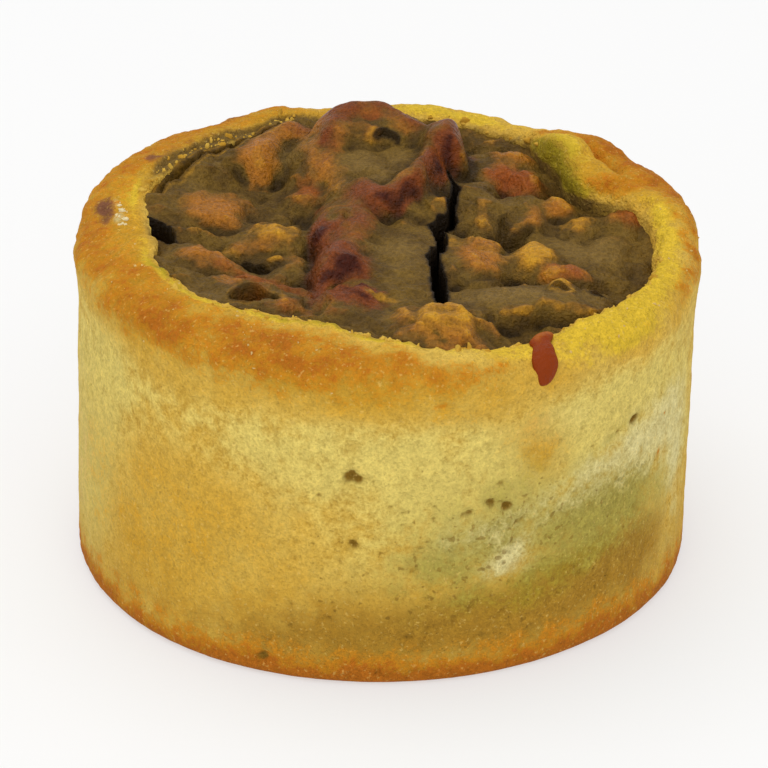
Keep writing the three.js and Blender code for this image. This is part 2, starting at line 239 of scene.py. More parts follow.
def make_piece(name: str, points: np.ndarray, faces: list, marks: Marks) -> bpy.types.Object:
    """A smooth mesh object at the origin.

    Args:
        name: the piece's name.
        points: its vertices, millimetres.
        faces: lists of vertex numbers.
        marks: named values on the vertices, for the material to read.

    Returns:
        The object, linked to the scene.
    """
    mesh = bpy.data.meshes.new(name)
    mesh.from_pydata((points * MM).tolist(), [], faces)
    mesh.polygons.foreach_set("use_smooth", np.ones(len(mesh.polygons), bool))
    for mark, values in marks.items():
        mesh.attributes.new(mark, "FLOAT", "POINT").data.foreach_set("value", values.astype(np.float32))
    mesh.update()
    piece = bpy.data.objects.new(name, mesh)
    bpy.context.scene.collection.objects.link(piece)
    return piece


def ring_faces(rings: int, stations: int) -> list:
    """Faces of a turned surface whose first and last stations are single points.

    Args:
        rings: steps round the axis.
        stations: steps along the outline, without the two points on the axis.

    Returns:
        Quads between neighbours and a fan at each end. Vertex r * stations + s
        is station s at step r, then come the first and the last point.
    """
    r, s = np.meshgrid(np.arange(rings), np.arange(stations - 1), indexing="ij")
    after = (r + 1) % rings
    near = r * stations + s
    far = after * stations + s
    quads = np.stack([near, far, far + 1, near + 1], axis=-1).reshape(-1, 4)
    first = rings * stations
    last = first + 1
    here = np.arange(rings)
    there = (here + 1) % rings
    end = stations - 1
    low = np.stack([np.full(rings, first), there * stations, here * stations], axis=-1)
    top = np.stack([np.full(rings, last), here * stations + end, there * stations + end], axis=-1)
    return quads.tolist() + low.tolist() + top.tolist()


# Finishes

class Sheet:
    """A material's nodes, with short calls that add and join them."""

    MIX_UNDER = 6
    MIX_OVER = 7
    MIX_OUT = 2

    def __init__(self, name: str) -> None:
        """Starts a material with an empty surface shader.

        Args:
            name: the material's name.
        """
        self.material = bpy.data.materials.new(name)
        self.material.use_nodes = True
        self._tree = self.material.node_tree
        self._surface = self._tree.nodes["Principled BSDF"]
        self._place = self._node("ShaderNodeTexCoord").outputs["Object"]

    def _node(self, kind: str, **settings: str) -> bpy.types.Node:
        """A new node.

        Args:
            kind: the node's type.
            settings: its options by name.

        Returns:
            The node.
        """
        node = self._tree.nodes.new(kind)
        for key, value in settings.items():
            setattr(node, key, value)
        return node

    def _feed(self, socket: Socket, value: Value) -> None:
        """Joins a socket to an output, or sets it to a number or a colour.

        Args:
            socket: the input.
            value: what it takes.
        """
        if isinstance(value, Socket):
            self._tree.links.new(value, socket)
        elif isinstance(value, tuple):
            socket.default_value = (*value, 1.0)
        else:
            socket.default_value = value

    def _joined(self, operation: str, one: Value, other: Value) -> Socket:
        """Two values joined by arithmetic.

        Args:
            operation: the kind of arithmetic.
            one: the first value.
            other: the second value.

        Returns:
            The result's output.
        """
        node = self._node("ShaderNodeMath", operation=operation)
        self._feed(node.inputs[0], one)
        self._feed(node.inputs[1], other)
        return node.outputs["Value"]

    def plus(self, one: Value, other: Value) -> Socket:
        """One value plus another."""
        return self._joined("ADD", one, other)

    def times(self, one: Value, other: Value) -> Socket:
        """One value times another."""
        return self._joined("MULTIPLY", one, other)

    def larger(self, one: Value, other: Value) -> Socket:
        """The larger of two values."""
        return self._joined("MAXIMUM", one, other)

    def mark(self, name: str) -> Socket:
        """The value that the piece's vertices carry under a name."""
        return self._node("ShaderNodeAttribute", attribute_name=name).outputs["Fac"]

    def noise(self, wavelength: float, detail: float, roughness: float, shift: float) -> Socket:
        """Noise from 0 to 1 in the tart's own space.

        Args:
            wavelength: distance between rises, millimetres.
            detail: finer layers added.
            roughness: their strength.
            shift: moves the pattern, so that two patterns differ.

        Returns:
            The noise's output.
        """
        mapping = self._node("ShaderNodeMapping")
        mapping.inputs["Location"].default_value = (shift, shift * 0.7, shift * 1.3)
        self._tree.links.new(self._place, mapping.inputs["Vector"])
        node = self._node("ShaderNodeTexNoise")
        node.inputs["Scale"].default_value = 1.0 / (wavelength * MM)
        node.inputs["Detail"].default_value = detail
        node.inputs["Roughness"].default_value = roughness
        self._tree.links.new(mapping.outputs["Vector"], node.inputs["Vector"])
        return node.outputs["Fac"]

    def spread(
        self, value: Value, low: float, high: float, to_low: float = 0.0, to_high: float = 1.0
    ) -> Socket:
        """A value carried from one range to another by an S-shaped rise, and held inside it.

        Args:
            value: the value.
            low: where the rise starts.
            high: where it is complete.
            to_low: the result up to low.
            to_high: the result from high on.

        Returns:
            The result's output.
        """
        node = self._node("ShaderNodeMapRange", interpolation_type="SMOOTHSTEP")
        ends = {"From Min": low, "From Max": high, "To Min": to_low, "To Max": to_high}
        for key, end in ends.items():
            node.inputs[key].default_value = end
        self._feed(node.inputs["Value"], value)
        return node.outputs["Result"]

    def blend(self, share: Value, under: Value, over: Value, mode: str = "MIX") -> Socket:
        """One colour laid over another.

        Args:
            share: how much of the upper one counts, 0 to 1.
            under: the lower colour.
            over: the upper colour, or a value.
            mode: how they are mixed.

        Returns:
            The mixed colour's output.
        """
        node = self._node("ShaderNodeMix", data_type="RGBA", blend_type=mode)
        self._feed(node.inputs["Factor"], share)
        self._feed(node.inputs[self.MIX_UNDER], under)
        self._feed(node.inputs[self.MIX_OVER], over)
        return node.outputs[self.MIX_OUT]

    def relief(self, height: Value, depth: float) -> None:
        """Adds fine relief to the surface.

        Args:
            height: the relief, 0 to 1.
            depth: how deep it is, millimetres.
        """
        node = self._node("ShaderNodeBump")
        node.inputs["Distance"].default_value = depth * MM
        self._feed(node.inputs["Height"], height)
        self._tree.links.new(node.outputs["Normal"], self._surface.inputs["Normal"])

    def set(self, **inputs: Value) -> None:
        """Sets or joins inputs of the surface shader; an underscore stands for a space."""
        for key, value in inputs.items():
            self._feed(self._surface.inputs[key.replace("_", " ")], value)


@dataclass(frozen=True)
class PastryFinish:
    """Baked shortcrust: sandy and golden, browner where it was toasted."""

    gold: Colour = (0.655, 0.388, 0.050)
    straw: Colour = (0.700, 0.545, 0.138)
    honey: Colour = (0.570, 0.300, 0.022)
    butter: Colour = (0.670, 0.445, 0.032)
    amber: Colour = (0.520, 0.212, 0.012)
    brown: Colour = (0.400, 0.125, 0.009)
    moss: Colour = (0.375, 0.305, 0.058)
    lime: Colour = (0.320, 0.235, 0.014)
    chalk: Colour = (0.690, 0.595, 0.260)
    umber: Colour = (0.370, 0.195, 0.020)
    plum: Colour = (0.190, 0.075, 0.035)
    # Dark olive: filling smeared on the rim, and painted shade where the fold meets the filling.
    smear_and_shade: Colour = (0.165, 0.098, 0.023)
    # Dark brown: the painted shade in the pits and the pores.
    hole_shade: Colour = (0.200, 0.108, 0.012)
    # Pale specks: partly pale grains, partly painted glints of highlight.
    grain: Colour = (0.780, 0.540, 0.150)
    roughness: float = 0.8
    gloss: float = 0.08
    crumb_depth: float = 0.30

    def material(self) -> bpy.types.Material:
        """The finish as a material.

        Returns:
            The material. Its tones lie one over another by the marks, with edges
            frayed by noise. Specks, pores and pits darkened by painted shade, and pale
            specks that are partly grains and partly painted glints, lie on top of them,
            and the same noise gives the fine relief.
        """
        sheet = Sheet("pastry")
        broad = sheet.noise(9.0, 4.0, 0.6, 0.01)
        mottle = sheet.noise(3.0, 4.0, 0.62, 0.02)
        clump = sheet.noise(1.15, 3.0, 0.7, 0.13)
        pores = sheet.noise(1.1, 1.5, 0.6, 0.06)
        speck = sheet.noise(0.6, 2.0, 0.6, 0.05)
        glint = sheet.noise(0.5, 1.5, 0.5, 0.04)
        sand = sheet.noise(0.38, 2.0, 0.6, 0.03)
        wide = sheet.spread(mottle, 0.25, 0.75, -0.5, 0.5)
        coarse = sheet.plus(wide, sheet.spread(clump, 0.3, 0.7, -0.25, 0.25))
        fray = sheet.plus(coarse, sheet.spread(sand, 0.2, 0.8, -0.2, 0.2))

        def over(colour: Value, mark: str, tone: Colour, low: float, high: float, rough: float) -> Socket:
            """Lays a tone over a colour.

            Args:
                colour: the colour below.
                mark: the mark that says where the tone shows.
                tone: the colour above.
                low: the mark's value where the tone starts.
                high: the mark's value where it covers.
                rough: how far noise frays its edge.

            Returns:
                The mixed colour.
            """
            here = sheet.mark(mark)
            frayed = sheet.times(fray, sheet.spread(here, 0.0, 0.4, 0.0, rough))
            return sheet.blend(sheet.spread(sheet.plus(here, frayed), low, high), colour, tone)

        tint = sheet.plus(sheet.spread(broad, 0.3, 0.7, -0.2, 0.4), sheet.times(fray, 0.25))
        colour = sheet.blend(sheet.spread(tint, -0.2, 0.9, 0.0, 0.75), self.gold, self.straw)
        for layer in (
            ("straw", self.straw, 0.0, 0.9, 0.5),
            ("honey", self.honey, 0.05, 1.0, 0.5),
            ("butter", self.butter, 0.15, 0.85, 0.5),
            ("umber", self.umber, 0.05, 1.1, 0.5),
            ("lime", self.lime, 0.1, 1.0, 0.4),
            ("moss", self.moss, 0.0, 1.0, 0.45),
            ("chalk", self.chalk, 0.05, 1.1, 0.45),
            ("toast", self.amber, 0.12, 0.82, 0.7),
            ("toast", self.brown, 0.72, 1.35, 1.0),
            ("smear_and_shade", self.smear_and_shade, 0.1, 1.0, 0.5),
            ("plum", self.plum, 0.2, 0.9, 0.6),
        ):
            colour = over(colour, *layer)
        colour = sheet.blend(sheet.spread(speck, 0.60, 0.76, 0.0, 0.30), colour, self.umber)
        # Painted shade: the pores and the pits darken.
        pore = sheet.plus(pores, sheet.times(sheet.mark("pore"), 0.1))
        colour = sheet.blend(sheet.spread(pore, 0.76, 0.84, 0.0, 0.55), colour, self.hole_shade)
        colour = over(colour, "pit", self.hole_shade, 0.25, 0.9, 0.2)
        # Pale specks: partly grains, partly painted glints of highlight.
        colour = sheet.blend(sheet.spread(glint, 0.60, 0.76, 0.0, 0.34), colour, self.grain)
        shade = sheet.times(
            sheet.spread(sand, 0.25, 0.75, 0.86, 1.12), sheet.spread(mottle, 0.2, 0.8, 0.92, 1.06)
        )
        shade = sheet.times(shade, sheet.spread(clump, 0.3, 0.7, 0.87, 1.12))
        colour = sheet.blend(1.0, colour, shade, "MULTIPLY")
        sheet.set(Base_Color=colour, Roughness=self.roughness, Specular_IOR_Level=self.gloss)
        grains = sheet.plus(sand, sheet.times(speck, 1.2))
        clods = sheet.plus(sheet.times(clump, 1.4), sheet.times(mottle, 0.5))
        sheet.relief(sheet.plus(grains, clods), self.crumb_depth)
        return sheet.material


@dataclass(frozen=True)
class FillingFinish:
    """Baked filling: olive brown inside, orange brown and mauve where a skin formed."""

    olive: Colour = (0.086, 0.046, 0.0066)
    moss: Colour = (0.150, 0.084, 0.0112)
    grey: Colour = (0.190, 0.112, 0.0225)
    orange: Colour = (0.345, 0.125, 0.010)
    yellow: Colour = (0.500, 0.245, 0.013)
    rust: Colour = (0.260, 0.062, 0.008)
    mauve: Colour = (0.178, 0.042, 0.0070)
    # Plum: the skin's darkest tone, and painted shade where the plum marks follow shadows.
    plum: Colour = (0.052, 0.008, 0.002)
    # Near black: the painted shade of creases, splits and pores.
    crease_shade: Colour = (0.010, 0.005, 0.001)
    dull: float = 0.58
    smooth: float = 0.28
    gloss: float = 0.12
    crumb_depth: float = 0.42

    def material(self) -> bpy.types.Material:
        """The finish as a material.

        Returns:
            The material: soft changes from tone to tone by the marks, painted shade in the
            creases, splits and pores, and a skin that is smoother where it is mauve or orange.
        """
        sheet = Sheet("filling")
        patches = sheet.noise(5.0, 3.0, 0.6, 0.05)
        mottle = sheet.noise(1.6, 3.0, 0.6, 0.06)
        pore = sheet.noise(0.8, 2.0, 0.6, 0.11)
        fine = sheet.noise(0.5, 2.0, 0.6, 0.07)
        fray = sheet.spread(mottle, 0.25, 0.75, -0.14, 0.14)
        colour = sheet.blend(sheet.spread(patches, 0.35, 0.65), self.olive, self.moss)
        for mark, tone, low, high in (
            ("grey", self.grey, 0.1, 1.0),
            ("orange", self.orange, 0.1, 1.0),
            ("rust", self.rust, 0.1, 1.0),
            ("mauve", self.mauve, 0.1, 0.85),
            ("mauve", self.plum, 0.8, 1.35),
            ("yellow", self.yellow, 0.2, 1.0),
        ):
            share = sheet.spread(sheet.plus(sheet.mark(mark), fray), low, high)
            colour = sheet.blend(share, colour, tone)
        # Painted shade in hollows, below ledges and inside the splits, by the mark.
        colour = sheet.blend(sheet.mark("crease_shade"), colour, self.crease_shade)
        colour = sheet.blend(1.0, colour, sheet.spread(fine, 0.2, 0.8, 0.72, 1.28), "MULTIPLY")
        # Painted shade in the pores, scattered by noise.
        colour = sheet.blend(sheet.spread(pore, 0.66, 0.8, 0.0, 0.5), colour, self.crease_shade)
        skin = sheet.larger(sheet.mark("mauve"), sheet.times(sheet.mark("orange"), 0.7))
        sheet.set(Base_Color=colour, Roughness=sheet.spread(skin, 0.1, 0.9, self.dull, self.smooth))
        sheet.set(Specular_IOR_Level=self.gloss)
        sheet.relief(sheet.plus(fine, sheet.times(mottle, 1.2)), self.crumb_depth)
        return sheet.material


@dataclass(frozen=True)
class CrumbFinish:
    """Crumbs of shortcrust: golden, and nearly white where flour clings."""

    gold: Colour = (0.620, 0.390, 0.060)
    deep: Colour = (0.460, 0.240, 0.022)
    flour: Colour = (0.760, 0.640, 0.360)
    roughness: float = 0.8
    gloss: float = 0.08

    def material(self) -> bpy.types.Material:
        """The finish as a material.

        Returns:
            The material: two golds that change by noise, and flour by the mark pale.
        """
        sheet = Sheet("crumb")
        change = sheet.spread(sheet.noise(3.0, 2.0, 0.5, 0.1), 0.35, 0.65)
        colour = sheet.blend(change, self.gold, self.deep)
        colour = sheet.blend(sheet.mark("pale"), colour, self.flour)
        sheet.set(Base_Color=colour, Roughness=self.roughness, Specular_IOR_Level=self.gloss)
        return sheet.material


@dataclass(frozen=True)
class SauceFinish:
    """A dried run of red-brown sauce, smooth and a little glossy."""

    red: Colour = (0.225, 0.032, 0.0015)
    light: Colour = (0.370, 0.095, 0.006)
    roughness: float = 0.45
    gloss: float = 0.1
    dimple_depth: float = 0.35

    def material(self) -> bpy.types.Material:
        """The finish as a material.

        Returns:
            The material: lighter where the run is thin, by the mark upper and noise.
        """
        sheet = Sheet("sauce")
        drift = sheet.spread(sheet.noise(1.2, 2.0, 0.5, 0.08), 0.2, 0.8, -0.3, 0.3)
        share = sheet.plus(sheet.mark("upper"), drift)
        colour = sheet.blend(sheet.spread(share, 0.2, 1.1), self.red, self.light)
        sheet.set(Base_Color=colour, Roughness=self.roughness, Specular_IOR_Level=self.gloss)
        sheet.relief(sheet.noise(0.7, 2.0, 0.6, 0.09), self.dimple_depth)
        return sheet.material


# The pastry case

@dataclass(frozen=True)
class Stain:
    """A soft patch of colour on the wall: place, half sizes along and across its turn, and strength."""

    angle: float
    height: float
    wide: float
    high: float
    share: float = 1.0
    turn: float = 0.0


@dataclass(frozen=True)
class Pit:
    """A small hole in the wall: its place and radius."""

    angle: float
    height: float
    radius: float


@dataclass
class PastryCase:
    """The shortcrust case: floor, wall, rolled rim and the fold at the back right."""

    base_radius: float = 40.0
    rim_height: float = 45.6
    rim_fall: float = 1.45
    lean: float = 0.0233
    lean_pivot: float = 31.9
    foot_radius: float = 1.4
    lip_height: float = 11.0
    lip_overhang: float = 0.4
    lip_drop: float = 3.6
    crest_share: float = 0.28
    edge_drop: float = 0.7
    cavity_radius: float = 33.0
    cavity_shift: float = 2.6
    floor_thickness: float = 6.0
    floor_fillet: float = 3.0
    rings: int = 620
    section_steps: tuple[int, ...] = (3, 6, 78, 16, 30, 14, 5, 4)
    rim_rises: tuple[Bell, ...] = (
        Bell(148, 16, 1.0), Bell(114, 8, 1.2), Bell(100, 8, -0.5), Bell(80, 9, 0.5), Bell(62, 8, -0.7),
        Bell(41, 12, 2.3), Bell(34, 3, -0.5), Bell(25, 7, 1.4), Bell(9, 12, 2.4), Bell(-62, 14, -0.7),
        Bell(-115, 30, 0.3), Bell(178, 12, -0.5),
    )
    inside_folds: tuple[Bell, ...] = (
        Bell(29, 18, -7.6), Bell(47, 6, -2.2), Bell(-105, 17, -2.6), Bell(-139, 9, 1.3),
        Bell(-78, 8, 1.2), Bell(165, 12, 1.6), Bell(-156, 8, 1.6), Bell(-69, 6, 1.0),
        Bell(-92, 6, 0.7), Bell(-5, 14, -1.0),
    )
    edge_drops: tuple[Bell, ...] = (Bell(33, 18, 2.4), Bell(-12, 26, 1.8))
    rim_stains: dict[str, tuple[Stain, ...]] = field(default_factory=lambda: {
        "toast": (
            Stain(-128, 4.30, 48, 0.66, 0.72), Stain(-168, 4.45, 14, 0.5, 0.35),
            Stain(-143, 4.60, 12, 0.35, 0.35), Stain(-118, 4.60, 14, 0.34, 0.55),
            Stain(-95, 4.52, 13, 0.34, 0.5), Stain(-76, 4.35, 10, 0.3, 0.4),
            Stain(-34, 4.3, 12, 0.3, 0.12), Stain(-150, 5.0, 10, 0.3, 0.35),
            Stain(-12, 4.3, 14, 0.34, 0.5), Stain(8, 4.4, 14, 0.4, 0.65), Stain(22, 4.5, 9, 0.4, 0.7),
            Stain(38, 4.40, 13, 0.34, 1.1), Stain(19, 5.25, 6, 0.4, 1.1), Stain(52, 5.0, 4, 0.3, 0.8),
            Stain(112, 4.6, 8, 0.5, 0.3), Stain(130, 4.6, 14, 0.6, 0.8), Stain(152, 4.6, 12, 0.6, 0.7),
            Stain(172, 4.4, 12, 0.5, 0.5),
        ),
        "butter": (
            Stain(-40, 4.3, 14, 0.4, 0.7), Stain(-110, 5.4, 30, 0.3, 0.9),
            Stain(-45, 5.0, 30, 0.6, 0.9), Stain(-5, 5.2, 22, 0.6, 0.8), Stain(168, 5.1, 10, 0.3, 0.7),
            Stain(80, 5.0, 20, 0.6, 0.9), Stain(-150, 5.3, 20, 0.3, 0.7), Stain(40, 5.2, 9, 0.25, 0.9),
            Stain(25, 5.8, 3, 0.2, 1.2),
        ),
        "lime": (
            Stain(47, 5.75, 6, 0.3, 1.0), Stain(36, 5.78, 12, 0.26, 1.4),
            Stain(38, 5.4, 12, 0.3, 0.45), Stain(-105, 5.5, 26, 0.3, 0.6),
            Stain(-150, 5.5, 14, 0.3, 0.5),
        ),
        "honey": (
            Stain(-150, 5.0, 40, 0.7, 0.9), Stain(22, 5.1, 24, 0.8, 1.1),
            Stain(120, 5.0, 50, 0.8, 0.9), Stain(180, 4.4, 40, 0.7, 0.6),
            Stain(-100, 4.1, 46, 0.5, 0.8),
        ),
        "smear_and_shade": (
            Stain(150, 5.5, 14, 0.45, 1.0), Stain(130, 5.5, 16, 0.5, 1.1),
            # The stain at 34 degrees, low on the fold's inner face beside the filling, is painted shade.
            Stain(110, 5.6, 12, 0.4, 0.9), Stain(62, 5.8, 10, 0.4, 0.7), Stain(34, 6.2, 24, 0.26, 1.5),
            Stain(-172, 5.75, 10, 0.3, 0.6), Stain(-76, 5.8, 12, 0.3, 0.6),
        ),
        "plum": (
            Stain(175, 4.66, 6, 0.14, 1.1), Stain(152, 4.9, 3, 0.15, 0.6),
            Stain(124, 4.6, 8, 0.25, 0.4),
        ),
        "chalk": (Stain(-180, 4.86, 2.5, 0.06, 1.3), Stain(173, 4.84, 1.5, 0.05, 1.0)),
    })
    grooves: tuple[Stain, ...] = (
        Stain(35, 4.76, 13, 0.09, 2.2), Stain(-158, 4.8, 0.7, 0.5, 0.35),
        Stain(-150, 4.6, 0.6, 0.4, 0.3), Stain(19.5, 5.0, 1.5, 0.7, 0.8),
        Stain(160, 5.1, 0.9, 0.4, 0.4), Stain(137, 5.3, 9, 0.12, 0.7), Stain(122, 5.4, 8, 0.12, 0.6),
        Stain(152, 5.35, 6, 0.12, 0.6), Stain(37, 5.30, 13, 0.42, -2.3),
        Stain(-180, 4.87, 2, 0.07, -0.35),
    )
    stains: dict[str, tuple[Stain, ...]] = field(default_factory=lambda: {
        "moss": (
            Stain(-54, 19.5, 24.0, 8.5, 0.50), Stain(-49, 21.2, 8.0, 3.6, 0.4, 35),
            Stain(-40, 21.5, 7.0, 3.6, 0.4, 35), Stain(-35, 17.5, 6.0, 4.5, 0.3),
            Stain(-69, 19.5, 8.0, 4.6, 0.3), Stain(-80, 17.0, 8.0, 5.0, 0.2),
            Stain(-66, 27.0, 8.0, 4.0, 0.2), Stain(-42.5, 29.6, 3.4, 0.5, 0.5, 20),
            Stain(-86, 13.0, 9.0, 5.0, 0.15),
        ),
        "lime": (
            Stain(-56, 14.0, 8.0, 3.6, 0.45, 15), Stain(-45, 15.0, 6.0, 3.2, 0.35, 20),
            Stain(-68, 12.0, 10.0, 4.5, 0.3), Stain(-64, 30.0, 5.0, 5.0, 0.2),
            Stain(-34, 14.0, 5.0, 5.0, 0.2), Stain(-84, 14.0, 12.0, 6.0, 0.2),
        ),
        "chalk": (
            # The chalk stains at -27 and -20 degrees are partly painted light on the wall's right edge.
            Stain(-168, 20.0, 6.0, 16.0, 0.3), Stain(-27, 25.5, 6.0, 5.0, 0.7, 30),
            Stain(-37, 26.0, 7.0, 4.0, 0.6, 30), Stain(-46, 25.5, 7.0, 3.4, 0.35, 30),
            Stain(-58, 23.8, 7.0, 3.4, 0.3, 20), Stain(-74, 21.0, 7.0, 4.0, 0.3),
            Stain(-20, 20.0, 4.0, 9.0, 0.7), Stain(-67.1, 15.7, 3.6, 1.8, 0.75, 10),
            Stain(-58, 34.0, 9.0, 4.0, 0.25), Stain(-66, 17.6, 3.0, 1.4, 0.5, 40),
        ),
        "umber": (
            Stain(-47, 11.0, 13.0, 5.2, 0.9, 12), Stain(-65, 9.0, 11.0, 4.0, 0.5),
            Stain(-84, 9.0, 14.0, 6.0, 0.5), Stain(-102, 6.0, 16.0, 5.0, 0.4),
            Stain(-52, 12.6, 5.0, 2.4, 0.4, 20), Stain(-36, 9.0, 6.0, 5.0, 0.4),
        ),
        "honey": (
            Stain(-62.1, 32.7, 4.0, 5.4, 0.6, 70), Stain(-59.7, 28.6, 3.6, 3.6, 0.4),
            Stain(-122, 22.0, 20.0, 12.0, 0.25), Stain(-100, 39.0, 20.0, 2.4, 0.3),
            Stain(-140, 39.0, 14.0, 2.4, 0.25), Stain(-74, 38.0, 9.0, 2.4, 0.3),
            Stain(-90, 10.0, 22.0, 7.0, 0.25), Stain(-140, 12.0, 16.0, 9.0, 0.3),
            Stain(180, 20.0, 30.0, 12.0, 0.3), Stain(90, 16.0, 40.0, 9.0, 0.3),
            Stain(20, 14.0, 14.0, 8.0, 0.3),
        ),
        "straw": (
            Stain(-86, 32.0, 18.0, 7.0, 0.65), Stain(-43, 34.0, 13.0, 6.5, 0.9),
            Stain(-151, 36.0, 7.0, 8.0, 0.7), Stain(-80, 22.0, 18.0, 8.0, 0.35),
            # The straw stains at -158 and -172 degrees are partly painted light on the wall's left edge.
            Stain(-118, 33.0, 16.0, 6.0, 0.4), Stain(-158, 20.0, 8.0, 16.0, 0.8),
            Stain(-20, 24.0, 9.0, 18.0, 0.6), Stain(-60, 24.0, 22.0, 12.0, 0.4),
            Stain(-172, 22.0, 8.0, 20.0, 0.8), Stain(60, 30.0, 24.0, 7.0, 0.5),
            Stain(130, 31.0, 20.0, 6.0, 0.5),
        ),
        "pore": (
            Stain(-84, 15.0, 26.0, 11.0, 0.9), Stain(-62, 21.0, 18.0, 10.0, 0.8),
            Stain(-60, 8.0, 30.0, 6.0, 0.6),
        ),
        "toast": (
            Stain(-86, 1.0, 16.0, 3.0, 0.35), Stain(-80.8, 39.8, 1.3, 0.35, 0.8, 12),
            Stain(-29.6, 22.4, 0.9, 0.45, 0.9, 60), Stain(-27.3, 27.5, 0.5, 0.35, 0.8),
            Stain(-96, 31.0, 3.0, 1.2, 0.2), Stain(-105, 24.0, 2.0, 0.8, 0.25),
            Stain(-128, 26.0, 3.0, 5.0, 0.2),
        ),
    })
    pits: tuple[Pit, ...] = (
        Pit(-96.4, 29.9, 1.15), Pit(-95.2, 29.7, 0.8), Pit(-95.7, 20.4, 0.6), Pit(-38.1, 29.8, 0.75),
        Pit(-112.4, 2.6, 0.7), Pit(-67.1, 24.0, 0.6), Pit(-70.6, 25.1, 0.5), Pit(-65.4, 21.6, 0.5),
        Pit(-74.7, 24.1, 0.45), Pit(-70.8, 33.6, 0.4), Pit(-102.2, 27.0, 0.4), Pit(-89.2, 25.6, 0.4),
        Pit(-60.8, 39.3, 0.35), Pit(-42.5, 29.4, 0.45), Pit(-49.0, 28.9, 0.4),
    )
    pit_depth: float = 0.6
    even_pits: int = 200
    crowded_pits: int = 110
    pit_seed: int = 5
    finish: PastryFinish = field(default_factory=PastryFinish)
    grain: Grain = field(default_factory=lambda: Grain(11))

    def crest(self, angle: np.ndarray) -> np.ndarray:
        """Height of the rim's crest: it falls to the right, and has its bumps."""
        fall = self.rim_fall * np.cos(np.radians(angle))
        return self.rim_height - fall + bells(self.rim_rises, angle)

    def inside(self, angle: np.ndarray) -> np.ndarray:
        """Radius of the inside: a circle set to the right, and the folds."""
        shift = self.cavity_shift * np.cos(np.radians(angle))
        return self.cavity_radius + shift + bells(self.inside_folds, angle)

    def leaned(self, points: np.ndarray) -> np.ndarray:
        """Points as they stand once the tart leans to the right: x grows with the height."""
        return points + (points[..., 2:] - self.lean_pivot) * (self.lean, 0.0, 0.0)

    def _sections(self, angle: np.ndarray) -> np.ndarray:
        """The outline's eight curves at some angles.

        Args:
            angle: n angles.

        Returns:
            Control points of cubic Bezier curves, n x 8 x 4 x 2, as radius and
            height: base, foot, wall, lip, shoulder, inner edge, inner wall, floor.
        """
        crest, inside = self.crest(angle), self.inside(angle)
        edge = crest - self.edge_drop - bells(self.edge_drops, angle)
        radius = np.full_like(crest, self.base_radius)
        foot = np.full_like(crest, self.foot_radius)
        zero = np.zeros_like(crest)
        lip_foot = crest - self.lip_height
        lip_out = radius + self.lip_overhang
        lip_wide = crest - self.lip_drop
        top = inside + self.crest_share * (radius - inside)
        third = (lip_foot - foot) / 3.0
        round_off = 0.55 * foot
        floor = zero + self.floor_thickness
        fillet = zero + self.floor_fillet
        flat = radius - foot
        curves = [
            [(zero, zero), (flat / 3, zero), (flat / 1.5, zero), (flat, zero)],
            [(flat, zero), (flat + round_off, zero), (radius, foot - round_off), (radius, foot)],
            [(radius, foot), (radius, foot + third), (radius, lip_foot - third), (radius, lip_foot)],
            [(radius, lip_foot), (radius, lip_foot + 0.3 * self.lip_height),
             (lip_out, lip_wide - 0.2 * self.lip_height), (lip_out, lip_wide)],
            [(lip_out, lip_wide), (lip_out, crest - 0.35 * self.lip_drop),
             ((top + radius) / 2, crest), (top, crest)],
            [(top, crest), ((top * 2 + inside) / 3, crest),
             (inside, (crest + edge) / 2), (inside, edge)],
            [(inside, edge), (inside, edge * 0.67 + (floor + fillet) * 0.33),
             (inside, edge * 0.33 + (floor + fillet) * 0.67), (inside, floor + fillet)],
            [(inside, floor + fillet), (inside, floor), (inside - fillet, floor), (zero, floor)],
        ]
        stacked = [np.stack([np.stack(point, axis=-1) for point in curve], axis=1) for curve in curves]
        return np.stack(stacked, axis=1)

    def outline(self, angle: np.ndarray, station: np.ndarray) -> np.ndarray:
        """Points of the upright outline in space, before its fine relief.

        Args:
            angle: n angles.
            station: m stations; its whole part names the curve, its rest the place on it.

        Returns:
            n x m x 3 points: the Bezier point (radius, height) turned to the angle.
        """
        sections = self._sections(angle)
        curve = np.minimum(station.astype(int), sections.shape[1] - 1)
        t = station - curve
        weights = np.stack([(1 - t) ** 3, 3 * t * (1 - t) ** 2, 3 * t * t * (1 - t), t**3], axis=-1)
        flat = np.einsum("mk,nmkc->nmc", weights, sections[:, curve])
        turn = np.radians(angle)[:, None]
        out = flat[..., 0]
        return np.stack([out * np.cos(turn), out * np.sin(turn), flat[..., 1]], axis=-1)

    def stations(self) -> np.ndarray:
        """The stations of the mesh: each curve cut into its own number of steps."""
        cuts = [i + np.arange(n) / n for i, n in enumerate(self.section_steps)]
        return np.concatenate([*cuts, [float(len(self.section_steps))]])

    @staticmethod
    def _outward(points: np.ndarray) -> np.ndarray:
        """Unit normals of a turned grid.

        Args:
            points: rings x stations x 3 points.

        Returns:
            The cross product of the differences between neighbours round the axis and
            along the outline, at length 1.
        """
        round_way = np.roll(points, -1, axis=0) - np.roll(points, 1, axis=0)
        up_way = np.gradient(points, axis=1)
        normal = np.cross(round_way, up_way)
        return normal / np.maximum(np.linalg.norm(normal, axis=-1, keepdims=True), 1e-9)

    def _pits(self) -> np.ndarray:
        """Small holes in the wall: those that stand out, and a seeded scatter.

        Returns:
            Rows of angle, height and radius.
        """
        draw = np.random.default_rng(self.pit_seed)
        named = [(pit.angle, pit.height, pit.radius) for pit in self.pits]
        even = self.even_pits
        spread = [draw.uniform(-180, 180, even), draw.uniform(3, 38, even), draw.uniform(0.2, 0.36, even)]
        crowd = self.crowded_pits
        soft = [draw.normal(-72, 17, crowd), draw.normal(16, 7, crowd), draw.uniform(0.18, 0.40, crowd)]
        return np.concatenate([np.array(named), np.stack(spread, axis=-1), np.stack(soft, axis=-1)])

